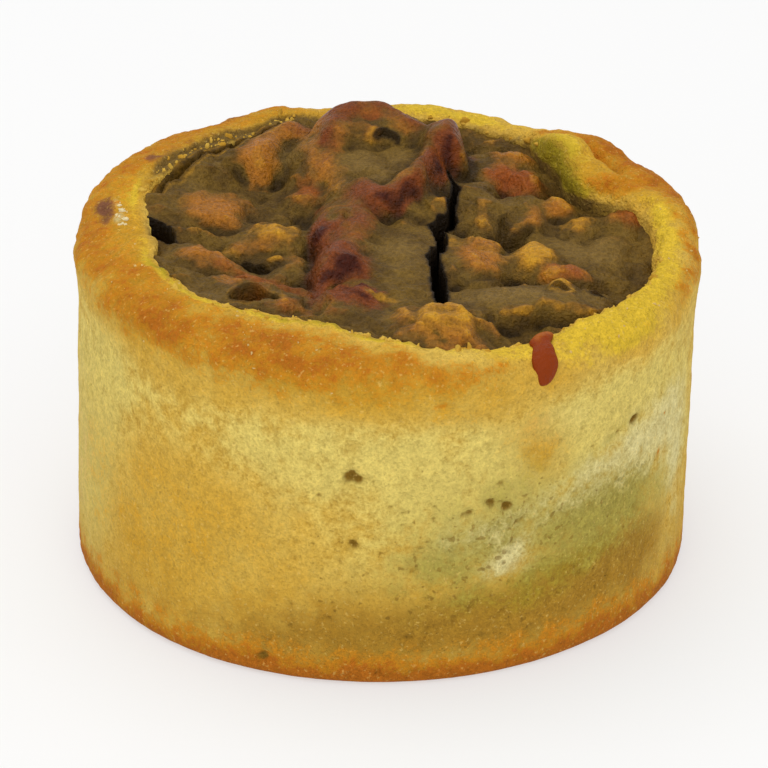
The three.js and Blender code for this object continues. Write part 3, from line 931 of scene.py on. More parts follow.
    def _pit_share(self, angle: np.ndarray, points: np.ndarray) -> np.ndarray:
        """How deep in a pit each place on the wall is.

        Args:
            angle: angles of the grid's rows.
            points: the grid's points.

        Returns:
            The largest bell of the distance to a pit along the wall, less for tiny
            pits. Noise stretches the distances, so that no pit is round.
        """
        height = points[..., 2]
        ragged = (1.0 + 0.55 * self.grain.layers(points + 210.0, 1.6, 2)) ** 2
        share = np.zeros_like(height)
        for at, up, radius in self._pits():
            across = np.radians(degrees_from(at, angle)) * self.base_radius
            near = ragged * ((across / 1.25) ** 2 + (height - up) ** 2) / radius**2
            share = np.maximum(share, np.exp(-(near**1.5)) * min(1.0, radius / 0.6))
        return share

    @cached_property
    def surface(self) -> tuple[np.ndarray, Marks]:
        """The whole skin of the case with its relief, and the marks for its colours.

        Returns:
            rings x stations x 3 points, and the marks on the same grid. Each point
            of the outline is pushed along its normal by noise, grooves and pits.
        """
        angle = np.arange(self.rings)[:, None] * 360.0 / self.rings
        station = self.stations()[None, :]
        points = self.outline(angle[:, 0], station[0])
        shown = smoothstep(1.0, 2.0, station) * smoothstep(6.4, 5.8, station)
        rim = smoothstep(3.0, 4.3, station) * shown
        waves = 0.20 * self.grain.at(points, 24.0) + 0.10 * self.grain.at(points + 50.0, 6.0)
        sandy = 0.15 * rim * self.grain.at(points + 31.0, 1.3)
        crumb = 0.07 * self.grain.layers(points, 1.7, 2) + sandy
        bumps = 0.42 * self.grain.at(points + 90.0, 8.0)
        bumps = bumps + 0.20 * self.grain.layers(points + 20.0, 2.8, 3)
        pit = self._pit_share(angle, points) * (station < 3) * shown
        groove = sum(self._rim_stained(one, angle, station, points) for one in self.grooves)
        ragged = 0.30 * self.grain.layers(points + 65.0, 2.2, 2) * smoothstep(4.8, 5.4, station)
        push = (waves + crumb) * shown + (bumps + ragged - groove) * rim - self.pit_depth * pit
        marks = self._marks(angle, station, points, pit)
        return points + push[..., None] * self._outward(points), marks

    def _marks(
        self, angle: np.ndarray, station: np.ndarray, points: np.ndarray, pit: np.ndarray
    ) -> Marks:
        """Where the pastry takes each of its colours.

        Args:
            angle: angles of the grid's rows.
            station: stations of the grid's columns.
            points: the grid's points.
            pit: how deep each point is in a pit.

        Returns:
            The marks, each from 0 to about 1: stains on the wall, toast on the rim
            and the foot, butter yellow inside the rim, and pits.
        """
        drift = 1.0 * self.grain.at(points + 70.0, 12.0) + 0.5 * self.grain.at(points + 10.0, 3.5)
        up = points[..., 2] + 0.8 * drift
        foot = (0.75 * smoothstep(9.5, -0.5, up) + 0.75 * smoothstep(4.2, 0.2, up)) * (station < 3)
        low = smoothstep(20.0, 3.0, points[..., 2] + 3.0 * drift) * (station < 3)
        marks = {"pit": pit, "toast": foot, "umber": 0.40 * low, "pore": np.full_like(low, 0.2)}
        for tone, stains in self.stains.items():
            sums = sum(self._stained(stain, angle, points) for stain in stains)
            marks[tone] = marks.get(tone, 0.0) + sums * smoothstep(4.1, 3.2, station)
        for tone, stains in self.rim_stains.items():
            sums = sum(self._rim_stained(stain, angle, station, points) for stain in stains)
            marks[tone] = marks.get(tone, 0.0) + sums * smoothstep(2.7, 3.7, station)
        return marks

    def _rim_stained(
        self, stain: Stain, angle: np.ndarray, station: np.ndarray, points: np.ndarray
    ) -> np.ndarray:
        """A stain's strength on the rim, where its height is a station and it is wide in degrees.

        Args:
            stain: the stain.
            angle: angles of the grid's rows.
            station: stations of the grid's columns.
            points: the grid's points, for the noise at its edge.

        Returns:
            The strength on the grid: a bell of the way round and of the way along the outline.
        """
        across = degrees_from(stain.angle, angle) / stain.wide
        over = (station - stain.height + 0.10 * self.grain.at(points + 110.0, 4.0)) / stain.high
        return stain.share * np.exp(-(across**2) - over**2 + 0.35 * self.grain.at(points + 150.0, 6.0))

    def _stained(self, stain: Stain, angle: np.ndarray, points: np.ndarray) -> np.ndarray:
        """A stain's strength on the wall.

        Args:
            stain: the stain.
            angle: angles of the grid's rows.
            points: the grid's points.

        Returns:
            The strength on the grid: a bell of the place, turned and scaled to its half sizes.
        """
        across = np.radians(degrees_from(stain.angle, angle)) * self.base_radius
        along, over = turned(across, points[..., 2] - stain.height, stain.turn)
        away = (along / stain.wide) ** 2 + (over / stain.high) ** 2
        return stain.share * np.exp(0.3 * self.grain.at(points + 130.0, 5.0) - away)

    def skin_at(self, angle: np.ndarray, station: np.ndarray) -> tuple[np.ndarray, np.ndarray]:
        """The nearest points of the skin to some places, and the normals there.

        Args:
            angle: n angles.
            station: n stations.

        Returns:
            n points and n unit normals, upright.
        """
        points, _ = self.surface
        ring = np.round(angle * self.rings / 360.0).astype(int) % self.rings
        step = np.searchsorted(self.stations(), station)
        return points[ring, step], self._outward(points)[ring, step]

    def build(self) -> bpy.types.Object:
        """The case as a piece that stands for its CAD node.

        Returns:
            The piece, closed by one point at the base and one on the floor inside.
        """
        points, marks = self.surface
        inner = slice(1, -1)
        ends = points[0, [0, -1]] * (0, 0, 1)
        skin = np.concatenate([points[:, inner].reshape(-1, 3), ends])
        skin[:, 2] = np.maximum(skin[:, 2], 0.0)
        flat = {
            mark: np.concatenate([np.broadcast_to(values, points.shape[:2])[:, inner].ravel(), [0, 0]])
            for mark, values in marks.items()
        }
        faces = ring_faces(self.rings, points.shape[1] - 2)
        piece = make_piece("pastry_case_skin", self.leaned(skin), faces, flat)
        piece.data.materials.append(self.finish.material())
        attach(piece, BODY)
        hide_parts("pastry_case")
        return piece


# The filling

class Tone(Enum):
    """What a place on the filling looks like: its share of each mark."""

    GREY = {"grey": 1.0}
    ORANGE = {"orange": 0.95, "yellow": 0.1}
    RED = {"orange": 0.6, "rust": 0.9}
    MAUVE = {"orange": 0.2, "rust": 0.2, "mauve": 0.8}
    # Dark plum skin, and painted shadow where a plum patch lies under a roll or along a step.
    PLUM_AND_SHADE = {"mauve": 1.3}
    YELLOW = {"orange": 0.45, "yellow": 0.65}


@dataclass(frozen=True)
class Lump:
    """A rounded lump: middle, half sizes, height over the level, turn and steepness."""

    x: float
    y: float
    a: float
    b: float
    height: float
    turn: float = 0.0
    square: float = 2.0
    steep: float = 1.0

    def cap(self, x: np.ndarray, y: np.ndarray) -> np.ndarray:
        """The lump's height over the level.

        Args:
            x: grid of places.
            y: grid of places.

        Returns:
            height * (1 - d)^steep inside its outline d < 1, where d is the sum of the
            places along and across, as shares of the half sizes, to the power square.
        """
        along, across = turned(x - self.x, y - self.y, self.turn)
        away = (np.abs(along) / self.a) ** self.square + (np.abs(across) / self.b) ** self.square
        return self.height * np.maximum(1.0 - away, 0.0) ** self.steep


@dataclass(frozen=True)
class Patch:
    """A patch of colour on the filling: middle, half sizes along and across its turn, tone and share."""

    x: float
    y: float
    a: float
    b: float
    tone: Tone
    share: float = 1.0
    turn: float = 0.0


@dataclass(frozen=True)
class Roll:
    """A soft ridge of wrinkled skin along a route: half width and height."""

    route: Route
    width: float
    height: float
    tone: Tone = Tone.MAUVE


@dataclass(frozen=True)
class Ledge:
    """A step along a route, high on its left: rise, the rise's reach, and the cut below it."""

    route: Route
    rise: float
    reach: float
    cut: float


@dataclass(frozen=True)
class Split:
    """A crack along a route: half widths at even steps, depth, torn yellow edges, and the strength of the
    painted shade inside.
    """

    route: Route
    widths: tuple[float, ...]
    depth: float
    torn: float = 0.0
    dark: float = 1.0


@dataclass
class Filling:
    """The baked filling, from the floor of the case up to its lumpy top."""

    case: PastryCase
    level_height: float = 42.7
    dome: float = 0.5
    tilt: float = 0.05
    softness: float = 0.25
    overlap: float = 0.25
    cells: int = 300
    border: tuple[Bell, ...] = (
        Bell(180, 40, 0.5), Bell(-130, 30, 0.6), Bell(-95, 20, 0.6), Bell(-60, 18, 1.3),
        Bell(-25, 22, 2.6), Bell(8, 20, 2.5), Bell(34, 14, 3.7), Bell(62, 10, 1.2), Bell(88, 24, 0.4),
        Bell(135, 30, 0.1),
    )
    moat: tuple[Bell, ...] = (Bell(34, 18, 0.9), Bell(5, 18, 0.5), Bell(-20, 16, 0.6))
    calm: tuple[tuple[float, float, float, float], ...] = (
        (17.0, -20.0, 9.0, 3.6), (25.0, -2.5, 6.5, 4.0), (1.5, -9.0, 4.0, 7.0), (-4.0, 15.5, 3.5, 4.0),
        (-22.5, 5.5, 4.0, 4.5), (18.4, -6.6, 2.6, 3.0),
    )
    finish: FillingFinish = field(default_factory=FillingFinish)
    grain: Grain = field(default_factory=lambda: Grain(23))
    lumps: tuple[Lump, ...] = (
        Lump(-22.8, 6.5, 7.0, 6.4, 1.9),
        Lump(-24.5, 17.6, 5.4, 5.6, 1.0, 40),
        Lump(-16.3, 20.0, 4.8, 4.8, 2.4),
        Lump(-10.3, 10.4, 4.4, 4.4, 2.2),
        Lump(-12.0, -9.6, 4.6, 4.6, 1.3),
        Lump(-10.4, 18.6, 3.6, 7.0, 3.8, 0, 2.0, 0.8),
        Lump(-14.6, -2.0, 6.4, 4.8, 2.4),
        Lump(-24.7, -1.9, 4.4, 3.0, 1.4, -10),
        Lump(-22.8, -9.0, 6.0, 3.2, 2.0, -15),
        Lump(-16.5, -19.0, 11.0, 6.4, 2.5, -12),
        Lump(-30.2, 6.0, 2.8, 2.6, 2.2, 0, 2.0, 0.7),
        Lump(-0.4, -2.0, 9.2, 27.0, 3.0, 0, 5.0, 0.5),
        Lump(-0.6, 15.0, 9.8, 13.0, 5.0, 0, 3.0, 0.7),
        Lump(-2.4, 24.4, 8.0, 6.6, 7.1, 0, 3.2, 0.45),
        Lump(3.4, 22.6, 4.8, 4.8, 6.0, 0, 2.4, 0.5),
        Lump(7.2, 20.4, 3.4, 5.4, 6.2, 0, 3.0, 0.45),
        Lump(6.6, 12.0, 3.6, 5.0, 3.6, 0, 2.0, 0.8),
        Lump(6.6, 4.6, 3.0, 4.6, 3.9, 0, 2.0, 0.7),
        Lump(-6.0, -1.0, 4.6, 7.4, 4.2, 0, 2.2, 0.8),
        Lump(-5.6, -12.6, 4.6, 5.4, 4.9, 0, 2.2, 0.8),
        Lump(-4.5, -21.6, 6.4, 3.6, 3.7, 0, 2.0, 0.7),
        Lump(3.4, -8.0, 3.6, 10.0, 3.3, 0, 2.4, 0.8),
        Lump(14.2, 29.0, 5.0, 4.4, 2.6),
        Lump(15.4, 21.6, 6.6, 6.2, 3.1),
        Lump(18.6, 17.0, 4.0, 3.6, 2.9),
        Lump(13.0, 17.2, 3.4, 3.6, 2.9),
        Lump(11.6, 8.6, 4.2, 8.0, 3.4, 0, 2.4, 0.6),
        Lump(18.0, 7.7, 4.4, 7.0, 3.0, 0, 2.4, 0.6),
        Lump(22.2, 9.1, 3.6, 3.8, 3.0, 0, 2.0, 0.9),
        Lump(24.9, 5.0, 3.8, 3.4, 2.2, 0, 2.0, 0.9),
        Lump(31.0, 6.2, 3.8, 3.6, 3.4),
        Lump(25.0, -3.4, 9.4, 8.4, 1.2, 0, 2.6),
        Lump(18.5, -6.5, 4.6, 5.4, 3.3),
        Lump(11.0, -7.6, 5.0, 8.0, 3.1, 0, 2.4, 0.6),
        Lump(22.5, -10.2, 4.6, 3.4, 3.4, 0, 2.0, 0.8),
        Lump(21.7, -16.4, 2.3, 2.4, 3.7, 0, 2.0, 0.7),
        Lump(18.4, -19.4, 13.0, 5.6, 3.2, 9, 2.6, 0.6),
        Lump(6.8, -27.8, 7.6, 6.4, 3.9, 0, 2.8, 0.5),
    )
    rolls: tuple[Roll, ...] = (
        Roll(((-18.0, 15.0), (-16.8, 20.0), (-14.5, 24.4), (-11.5, 26.0), (-9.6, 22.0), (-8.6, 16.0),
              (-8.0, 10.5)), 2.8, 0.9, Tone.ORANGE),
        Roll(((-7.9, 15.4), (-7.5, 21.8), (-5.4, 25.7), (-2.2, 26.6), (0.9, 24.9), (4.2, 23.2),
              (7.5, 22.7)), 2.8, 0.8),
        Roll(((8.0, 23.4), (7.6, 18.6), (5.8, 13.4), (3.5, 8.2), (1.0, 4.3), (-1.6, 4.0),
              (-3.3, 6.8)), 2.9, 2.4),
        Roll(((-4.7, 6.6), (-3.4, 1.7), (-4.2, -3.4), (-5.6, -8.8), (-7.5, -11.8)), 2.4, 0.8),
    )
    ledges: tuple[Ledge, ...] = (
        Ledge(((6.4, 20.0), (4.4, 15.0), (2.2, 10.2), (0.4, 7.0), (-1.4, 6.4),
               (-2.6, 8.2)), 0.5, 2.0, 1.0),
        Ledge(((-4.0, 3.8), (-2.0, 1.8), (0.8, 2.0), (3.8, 5.8), (5.8, 10.2),
               (7.2, 13.6)), 0.3, 1.6, 1.2),
        Ledge(((-1.4, 1.6), (2.0, 1.9), (4.6, 1.6), (6.6, 2.2)), 0.5, 2.0, 1.3),
        Ledge(((-9.1, 4.7), (-9.5, -3.4), (-9.3, -12.2), (-9.1, -21.1)), 0.2, 1.0, 0.8),
        Ledge(((-25.7, 3.6), (-23.0, 2.0), (-19.4, 1.0), (-17.0, 1.6)), 0.4, 2.0, 0.9),
        Ledge(((-20.4, -6.0), (-17.9, -7.3), (-15.3, -8.5), (-11.6, -7.6)), 0.4, 2.0, 1.2),
        Ledge(((8.3, 0.9), (11.9, -0.6), (15.2, -0.1), (18.5, 2.5)), 0.4, 2.0, 1.1),
        Ledge(((19.4, -9.8), (14.3, -12.6), (10.4, -14.5), (6.9, -18.2)), 0.3, 1.6, 0.9),
        Ledge(((11.9, -22.9), (14.6, -24.5), (17.8, -23.6), (21.6, -22.4), (25.4, -21.1),
               (29.1, -18.0)), 0.6, 2.4, 2.0),
        Ledge(((-2.1, -15.9), (-5.1, -17.0), (-7.4, -18.2), (-9.2, -20.3)), 0.3, 1.4, 1.0),
        Ledge(((11.9, -32.5), (10.2, -26.4), (8.3, -23.4), (6.7, -24.0), (5.2, -23.2), (3.7, -27.0),
               (2.4, -32.0)), 0.8, 3.0, 0.5),
        Ledge(((20.0, 5.4), (22.2, 6.4), (24.4, 8.6)), 0.3, 1.4, 0.8),
    )
    splits: tuple[Split, ...] = (
        Split(((8.4, 14.6), (8.5, 10.0), (8.1, 5.8), (8.1, 3.0), (7.0, 1.8), (6.2, 0.2), (6.5, -2.4),
               (6.7, -5.2), (6.0, -9.6), (6.1, -14.4), (6.4, -18.8), (6.6, -22.4)),
              (0.15, 0.32, 0.36, 0.42, 0.85, 0.85, 0.6, 0.55, 0.75, 0.8, 0.65, 0.35), 11.0, 0.1),
        Split(((-30.2, 8.1), (-27.7, 12.9), (-24.7, 17.3), (-21.5, 21.5), (-17.6, 25.1), (-13.1, 28.2)),
              (0.2, 0.45, 0.25, 0.5, 0.3, 0.2), 1.4, 0.5, 0.6),
        Split(((-20.0, -6.6), (-17.9, -8.0), (-15.3, -9.3)), (0.4, 0.9, 0.4), 2.2, 0.0, 0.8),
        Split(((-1.3, 19.7), (-0.3, 20.2), (0.7, 19.9)), (0.2, 0.45, 0.2), 1.5, 0.0, 0.85),
        Split(((-30.2, -0.4), (-29.6, -2.6), (-28.6, -4.6)), (1.2, 2.1, 1.3), 6.0),
        Split(((-19.0, -21.6), (-17.0, -21.2), (-15.0, -21.7)), (0.8, 1.6, 0.8), 4.2, 0.35, 0.58),
        Split(((21.5, -17.2), (22.3, -17.2)), (0.35, 0.35), 2.0, 0.6, 0.7),
        Split(((26.2, -16.0), (26.9, -15.8)), (0.4, 0.4), 1.6, 0.0, 0.8),
        Split(((15.1, 4.6), (15.0, 2.4), (14.7, 0.6)), (0.3, 0.5, 0.4), 0.7, 0.0, 0.4),
        Split(((9.4, 0.6), (11.9, -0.4), (15.2, 0.2), (18.5, 2.4)), (0.5, 0.7, 0.6, 0.3), 0.9, 0.0, 0.5),
    )
    patches: tuple[Patch, ...] = (
        Patch(-22.3, 5.0, 4.4, 5.0, Tone.ORANGE, 0.9), Patch(-25.5, 10.6, 3.0, 3.0, Tone.GREY, 0.5),
        Patch(-16.9, 18.5, 2.8, 3.8, Tone.ORANGE, 0.9), Patch(-12.7, 21.0, 2.4, 3.2, Tone.GREY, 0.7),
        Patch(-9.9, 11.0, 2.4, 3.4, Tone.RED, 0.9), Patch(-8.0, 12.2, 6.0, 1.3, Tone.YELLOW, 0.7, -72),
        Patch(-11.6, 27.0, 2.8, 1.8, Tone.MAUVE, 0.5), Patch(-15.0, -2.0, 3.4, 3.4, Tone.YELLOW, 0.9),
        Patch(-17.5, -4.2, 3.4, 1.4, Tone.ORANGE, 0.5),
        Patch(-20.3, -4.6, 2.6, 0.8, Tone.YELLOW, 0.6, -50),
        Patch(-22.8, -10.0, 3.4, 2.4, Tone.ORANGE, 0.8),
        Patch(-23.6, -9.0, 2.8, 1.8, Tone.ORANGE, 0.6), Patch(-21.8, -10.8, 2.4, 1.6, Tone.MAUVE, 0.4),
        Patch(-15.6, -15.0, 7.0, 2.4, Tone.RED, 0.8, -38),
        Patch(-11.5, -17.5, 3.6, 1.6, Tone.MAUVE, 0.7, -38),
        Patch(-20.0, -17.5, 1.8, 2.0, Tone.ORANGE, 0.8), Patch(-17.0, -21.4, 2.2, 1.8, Tone.RED, 0.95),
        Patch(-13.6, -22.0, 1.6, 2.2, Tone.YELLOW, 0.7),
        Patch(-11.2, -8.2, 2.2, 2.6, Tone.ORANGE, 0.5), Patch(-12.4, -23.6, 3.0, 2.2, Tone.RED, 0.5),
        Patch(-22.5, -21.0, 2.6, 2.8, Tone.GREY, 0.6), Patch(-30.4, 4.6, 1.8, 2.4, Tone.MAUVE, 0.4),
        Patch(-9.3, -24.0, 2.4, 2.4, Tone.ORANGE, 0.4), Patch(-2.7, 26.2, 5.6, 2.4, Tone.MAUVE, 0.9),
        Patch(-6.6, 24.4, 2.4, 3.0, Tone.PLUM_AND_SHADE, 0.5), Patch(-7.4, 19.4, 1.8, 3.4, Tone.ORANGE, 0.8),
        Patch(-4.5, 20.4, 2.6, 2.4, Tone.ORANGE, 0.4), Patch(-4.4, 15.5, 3.2, 3.6, Tone.GREY, 0.8),
        Patch(-1.0, 24.0, 3.6, 1.2, Tone.RED, 0.8), Patch(2.8, 22.6, 2.2, 1.6, Tone.ORANGE, 1.0),
        Patch(-2.4, 19.3, 1.6, 1.4, Tone.YELLOW, 0.6), Patch(1.2, 16.0, 2.4, 3.0, Tone.GREY, 0.6),
        # Painted shadow: the plum streaks at (6.6, 13.4), (2.6, 5.6) and (-1.2, 3.6) lie under the long
        # roll and its bend.
        Patch(-1.6, 11.0, 3.0, 3.0, Tone.GREY, 0.7), Patch(6.6, 13.4, 6.0, 1.5, Tone.PLUM_AND_SHADE, 0.75, 68),
        Patch(2.6, 5.6, 3.0, 1.2, Tone.PLUM_AND_SHADE, 0.8, 55), Patch(8.4, 21.6, 2.8, 3.6, Tone.PLUM_AND_SHADE, 0.85),
        Patch(5.6, 8.6, 2.0, 3.0, Tone.GREY, 0.4), Patch(7.0, 8.6, 1.0, 2.6, Tone.ORANGE, 0.8),
        Patch(-1.2, 3.6, 2.6, 1.2, Tone.PLUM_AND_SHADE, 0.8), Patch(-4.4, 0.6, 2.6, 5.4, Tone.MAUVE, 0.85),
        Patch(-6.6, -6.0, 2.6, 5.0, Tone.MAUVE, 0.9), Patch(-4.4, -4.6, 1.8, 2.4, Tone.ORANGE, 0.9),
        # Painted shadow: the long plum streak at (-8.9, -7.0) runs down the central block's left face.
        Patch(-8.9, -7.0, 1.3, 11.0, Tone.PLUM_AND_SHADE, 0.8), Patch(-5.8, -14.2, 3.8, 3.8, Tone.PLUM_AND_SHADE, 0.82),
        Patch(-5.6, -11.0, 2.6, 1.8, Tone.MAUVE, 0.8), Patch(-3.4, -10.6, 1.8, 2.4, Tone.MAUVE, 0.7),
        Patch(1.2, -9.0, 3.6, 6.0, Tone.GREY, 0.6), Patch(-4.3, -22.0, 4.8, 2.2, Tone.MAUVE, 1.0),
        # Painted shadow: the plum patches at (-6.0, -19.6) and (-4.8, -20.6) line the top of the front
        # pillow.
        Patch(-6.0, -19.6, 3.4, 1.5, Tone.PLUM_AND_SHADE, 1.0), Patch(-4.8, -20.6, 3.6, 1.4, Tone.PLUM_AND_SHADE, 0.8),
        Patch(-0.3, -21.4, 2.4, 0.7, Tone.YELLOW, 0.9, -10),
        Patch(-7.2, -25.6, 2.4, 1.6, Tone.MAUVE, 0.5), Patch(1.5, -27.0, 2.8, 1.8, Tone.GREY, 0.7),
        Patch(16.3, 17.2, 3.6, 3.2, Tone.RED, 1.0), Patch(18.0, 14.8, 2.2, 1.8, Tone.RED, 0.8),
        Patch(17.0, 22.8, 3.6, 3.0, Tone.ORANGE, 0.6), Patch(13.5, 28.5, 3.0, 2.6, Tone.YELLOW, 0.5),
        Patch(10.9, 18.0, 1.2, 3.0, Tone.YELLOW, 0.5), Patch(11.2, 4.4, 2.4, 1.8, Tone.YELLOW, 0.35),
        Patch(18.8, 4.6, 1.6, 2.2, Tone.ORANGE, 0.6), Patch(22.2, 8.0, 2.2, 2.4, Tone.ORANGE, 0.9),
        Patch(21.6, 9.4, 1.0, 1.0, Tone.YELLOW, 0.6), Patch(24.8, 4.2, 2.4, 2.0, Tone.YELLOW, 0.7),
        Patch(25.5, -2.0, 6.0, 4.0, Tone.GREY, 0.8), Patch(11.8, -7.8, 3.0, 4.0, Tone.ORANGE, 1.0),
        Patch(12.4, -6.0, 1.4, 1.4, Tone.YELLOW, 0.5), Patch(8.6, -4.4, 1.2, 2.4, Tone.YELLOW, 0.7),
        Patch(18.2, -7.0, 3.4, 4.6, Tone.YELLOW, 1.0), Patch(22.4, -10.6, 2.8, 1.6, Tone.RED, 1.0),
        Patch(20.4, -11.4, 1.4, 1.6, Tone.ORANGE, 0.8), Patch(21.9, -17.2, 1.8, 1.8, Tone.YELLOW, 0.9),
        Patch(14.4, -19.6, 6.0, 3.0, Tone.GREY, 0.8), Patch(26.0, -18.0, 4.0, 2.4, Tone.GREY, 0.6),
        Patch(7.0, -29.4, 6.0, 5.0, Tone.ORANGE, 1.0), Patch(5.6, -28.0, 4.6, 4.0, Tone.YELLOW, 0.9),
        Patch(10.2, -28.0, 2.4, 3.4, Tone.YELLOW, 0.7), Patch(31.4, 5.8, 2.4, 2.4, Tone.RED, 0.8),
    )

    def level(self, x: np.ndarray, y: np.ndarray) -> np.ndarray:
        """The filling's level between its lumps.

        Args:
            x: grid of places.
            y: grid of places.

        Returns:
            A low dome that falls to the right and runs out, near the case, at a set
            drop below the crest of the rim.
        """
        angle = np.degrees(np.arctan2(y, x))
        out = np.hypot(x, y) / self.case.inside(angle)
        dome = self.level_height - self.tilt * x + self.dome * (1.0 - out**2)
        weights = sum(np.abs(bell.over(angle)) / bell.by for bell in self.border)
        edge = self.case.crest(angle) - bells(self.border, angle) / weights
        ground = dome + (edge - dome) * smoothstep(0.72, 0.99, out)
        return ground - bells(self.moat, angle) * smoothstep(0.84, 0.97, out)

    def _plan(self) -> tuple[np.ndarray, np.ndarray]:
        """The top's grid seen from above.

        Returns:
            x and y on a square grid whose cells are drawn onto the disc by
            x = u sqrt(1 - v^2 / 2) and y = v sqrt(1 - u^2 / 2), and then stretched
            at each angle to the inside of the case.
        """
        side = np.linspace(-1.0, 1.0, self.cells)
        u, v = np.meshgrid(side, side, indexing="ij")
        x, y = u * np.sqrt(1 - v * v / 2), v * np.sqrt(1 - u * u / 2)
        reach = self.case.inside(np.degrees(np.arctan2(y, x))) + self.overlap
        return x * reach, y * reach

    def _painted(self, x: np.ndarray, y: np.ndarray, flat: np.ndarray) -> Marks:
        """The marks that the patches leave.

        Args:
            x: grid of places.
            y: grid of places.
            flat: the same places as points in space.

        Returns:
            One grid for each mark. Each patch draws the marks towards its tone, by a
            share that falls off over its ragged outline.
        """
        marks = {mark: np.zeros_like(x) for mark in ("grey", "orange", "rust", "mauve", "yellow")}
        ragged = 0.30 * self.grain.layers(flat + 120.0, 4.5, 3)
        for patch in self.patches:
            along, across = turned(x - patch.x, y - patch.y, patch.turn)
            away = np.hypot(along / patch.a, across / patch.b)
            share = patch.share * smoothstep(1.7, 0.2, away + ragged)
            for mark, values in marks.items():
                marks[mark] = values + (patch.tone.value.get(mark, 0.0) - values) * share
        return marks

    def _rolled(
        self, places: np.ndarray, height: np.ndarray, calm: np.ndarray, marks: Marks
    ) -> tuple[np.ndarray, np.ndarray]:
        """Lays the rolls of skin on the top.

        Args:
            places: the grid's places, warped by noise.
            height: the heights so far.
            calm: how smooth each place is.
            marks: the marks, which take the rolls' tones.

        Returns:
            The heights, raised by a bell of the distance to each route that thins
            towards its ends, and the calm, which grows there.
        """
        for roll in self.rolls:
            away, share, _ = follow(places, smooth_path(np.array(roll.route), 4))
            ends = np.sqrt(np.clip(9 * share * (1 - share), 0.2, 1))
            ridge = np.exp(-((away / (0.75 * roll.width)) ** 2)) * ends
            height = height + roll.height * ridge
            calm = calm + ridge
            for mark, values in marks.items():
                least = values * (mark == "mauve")
                tone = np.maximum(roll.tone.value.get(mark, 0.0), least)
                marks[mark] = values + (tone - values) * 0.8 * ridge
        return height, calm

    def _stepped(self, places: np.ndarray, height: np.ndarray, marks: Marks) -> np.ndarray:
        """Cuts the ledges into the top.

        Args:
            places: the grid's places, warped by noise.
            height: the heights so far.
            marks: the marks, which get painted shade below each ledge and painted light along its upper
                edge.

        Returns:
            The heights: raised by a bell on the left of each route, cut on its right.
        """
        for ledge in self.ledges:
            away, share, side = follow(places, smooth_path(np.array(ledge.route), 4))
            ends = np.clip(6 * share * (1 - share), 0, 1)
            high = smoothstep(-0.5, 0.5, away * side)
            lift = ledge.rise * np.exp(-((away / ledge.reach) ** 2)) * high
            cut = ledge.cut * np.exp(-(away**2)) * (1.0 - high)
            height = height + (lift - cut) * ends
            # Painted shade on the low side of the step, and painted light along its upper edge.
            shade = 0.65 * ends * np.exp(-((away / 0.6) ** 2)) * (1.0 - high)
            light = 0.25 * ends * np.exp(-((away / 0.8) ** 2)) * high
            marks["crease_shade"] = np.maximum(marks["crease_shade"], shade)
            marks["yellow"] = np.maximum(marks["yellow"], light)
        return height

    def _roughened(
        self, flat: np.ndarray, warp: np.ndarray, height: np.ndarray, calm: np.ndarray
    ) -> np.ndarray:
        """Gives the top its crumbly skin.

        Args:
            flat: the grid's places in space.
            warp: how far noise moves each place.
            height: the heights so far.
            calm: how smooth each place is.

        Returns:
            The heights, softened a little, with fine noise, folded noise that leaves
            round pillows, and wrinkles where a noise is near 0.
        """
        billow = np.abs(self.grain.layers(flat + 15.0 + 0.6 * warp, 5.5, 2))
        wrinkle = np.exp(-((self.grain.at(flat + 33.0 + 0.8 * warp, 6.0) / 0.10) ** 2))
        fine = 0.34 * self.grain.at(flat + 45.0, 3.0) + 0.22 * self.grain.layers(flat + 25.0, 1.6, 3)
        rough = 1.0 - 0.7 * np.minimum(calm, 1.0)
        return blurred(height, 2) + rough * (fine - 0.9 * billow - 0.3 * wrinkle)

    def _browned_and_shaded(self, flat: np.ndarray, height: np.ndarray, marks: Marks) -> None:
        """Marks the top by its form: painted shade in hollows and on slopes that face the front,
        tops lighter by browning and by painted light, and blotches on the mauve skin.

        Args:
            flat: the grid's places in space.
            height: the heights.
            marks: the marks that change.
        """
        # Painted shade: places below the mean height around them grow dark.
        hollow = blurred(height, 7) - height
        broad = blurred(height, 18) - height
        dark = 0.60 * smoothstep(0.15, 0.85, hollow) + 0.15 * smoothstep(0.3, 1.8, broad)
        bare = 1.0 - np.clip(marks["mauve"], 0.0, 1.0)
        rise = np.gradient(blurred(height, 2), axis=1) / np.gradient(flat[..., 1], axis=1)
        blotch = self.grain.layers(flat + 140.0, 5.0, 2)
        # Painted shade: mauve deepens towards plum on slopes that face the front; the blotch noise varies
        # it.
        marks["mauve"] = marks["mauve"] * (0.8 + 0.55 * smoothstep(0.2, 1.4, rise) + 0.45 * blotch)
        marks["orange"] = marks["orange"] + 0.5 * (1.0 - bare) * smoothstep(0.1, 0.7, -blotch)
        # Tops above the mean height around them turn orange and yellow, partly browning and partly
        # painted light; hollows lose orange as painted shade.
        marks["orange"] = marks["orange"] + 0.4 * bare * smoothstep(0.05, 0.6, -hollow)
        marks["orange"] = marks["orange"] - 0.6 * smoothstep(0.1, 0.6, hollow)
        marks["yellow"] = marks["yellow"] + 0.45 * bare * smoothstep(0.2, 0.7, -hollow)
        marks["crease_shade"] = np.maximum(marks["crease_shade"], np.minimum(dark, 0.9))

